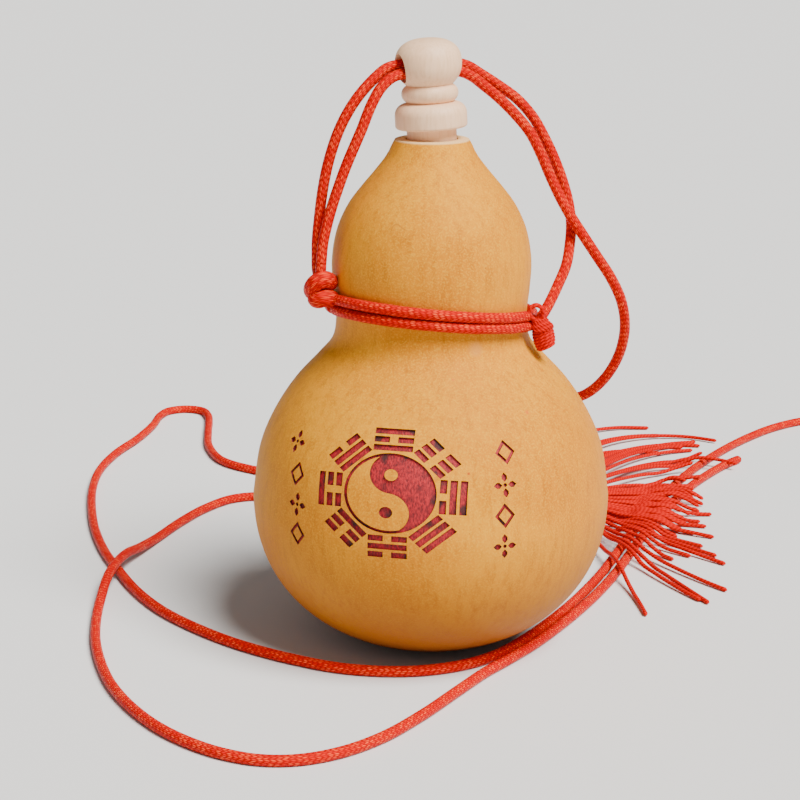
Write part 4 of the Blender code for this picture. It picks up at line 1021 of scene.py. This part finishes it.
# The stretches of the strap beside the tassel, which the threads are laid over
strap = smooth_route(STRAP_LONG_TAIL, PATH_STEP) + smooth_route(STRAP_SHORT_TAIL, PATH_STEP)
nearby = [p for p in strap if p.x > 30.0 and p.y > 0.0]
threads = []
for number in range(THREAD_COUNT):
    share = ((number + 0.5) / THREAD_COUNT) ** THREAD_CROWDING
    stray = draw.uniform(-THREAD_STRAY, THREAD_STRAY)
    heading = THREAD_FAN[0] + (THREAD_FAN[1] - THREAD_FAN[0]) * share + stray
    more = THREAD_MORE_BACK if heading > 0.0 else THREAD_MORE_FRONT
    thread_long = (THREAD_AHEAD + more * math.sin(heading) ** 4) * draw.uniform(*THREAD_LENGTHS)
    first_turn = heading
    if heading > 0.0:
        first_turn = heading * BACK_SPREAD
        last_turn = draw.uniform(*BACK_BEND)
    else:
        last_turn = heading * draw.uniform(*FRONT_BEND)
    layer = draw.uniform(*THREAD_LAYERS)
    thread_at = Vector((SKIRT_START - SKIRT_TUCK, HEAD_Y + SKIRT_HALF_WIDTH * math.sin(heading),
                        HEAD_Z - SKIRT_LOW + SKIRT_HIGH * layer))
    height_start = thread_at.z
    thread_route = [thread_at.copy()]
    pace = thread_long / (THREAD_POINTS - 1)
    for i in range(1, THREAD_POINTS):
        along = i / (THREAD_POINTS - 1)
        turn = first_turn + (last_turn - first_turn) * along ** 3
        thread_at = thread_at + Vector((math.cos(turn) * pace, math.sin(turn) * pace, 0.0))
        near = min(math.hypot(p.x - thread_at.x, p.y - thread_at.y) for p in nearby)
        over_strap = THREAD_LIFT * min(1.0, max(0.0, (THREAD_CLEAR - near) / THREAD_SLOPE))
        fall = (height_start - THREAD_RADIUS) * (1.0 - along) ** 2
        arch = THREAD_ARCH * layer * along * (1.0 - along)
        thread_at.z = max(THREAD_RADIUS + THREAD_GAP + fall + arch, over_strap)
        thread_route.append(thread_at.copy())
    threads.append(swept(smooth_route(thread_route, SKIRT_STEP), THREAD_RADIUS, THREAD_SIDES,
                         THREAD_RELIEF, THREAD_PITCH, THREAD_PLIES, 2.0 * math.pi / THREAD_PITCH))
strands_piece("tassel_threads", threads, thread_rayon, ["tassel_skirt"])

# Floor and light
# A plain matt floor under an even pale sky, with one broad light high on the right in front, and
# a faint, wider one lower down on the left.
floor_paint, floor_out = new_material("matt pale floor")
floor_shader = add_node(floor_paint, "BsdfPrincipled", None,
                        {"Base Color": from_hex("#DEDCD8"), "Roughness": 0.8})
floor_paint.node_tree.links.new(floor_shader.outputs[0], floor_out.inputs[0])
bpy.ops.object.select_all(action="DESELECT")
bpy.ops.mesh.primitive_plane_add(size=12.0, location=(0.0, 0.0, 0.0))
floor = bpy.context.object
floor.name = "floor"
floor.data.materials.append(floor_paint)

world = bpy.data.worlds.new("studio")
bpy.context.scene.world = world
world.use_nodes = True
world.node_tree.nodes["Background"].inputs[0].default_value = from_hex("#F2F4F6")
world.node_tree.nodes["Background"].inputs[1].default_value = 0.18
for light_name, light_from, light_spread, light_strength in (
        ("key light", (0.52, -0.5, 1.0), 30.0, 7.9),
        ("fill light", (-0.4, -0.8, 0.5), 60.0, 0.2)):
    light_data = bpy.data.lights.new(light_name, "SUN")
    light_data.angle = math.radians(light_spread)
    light_data.energy = light_strength
    light = bpy.data.objects.new(light_name, light_data)
    light.rotation_euler = Vector(light_from).to_track_quat("Z", "Y").to_euler()
    bpy.context.scene.collection.objects.link(light)

bpy.context.view_layer.update()
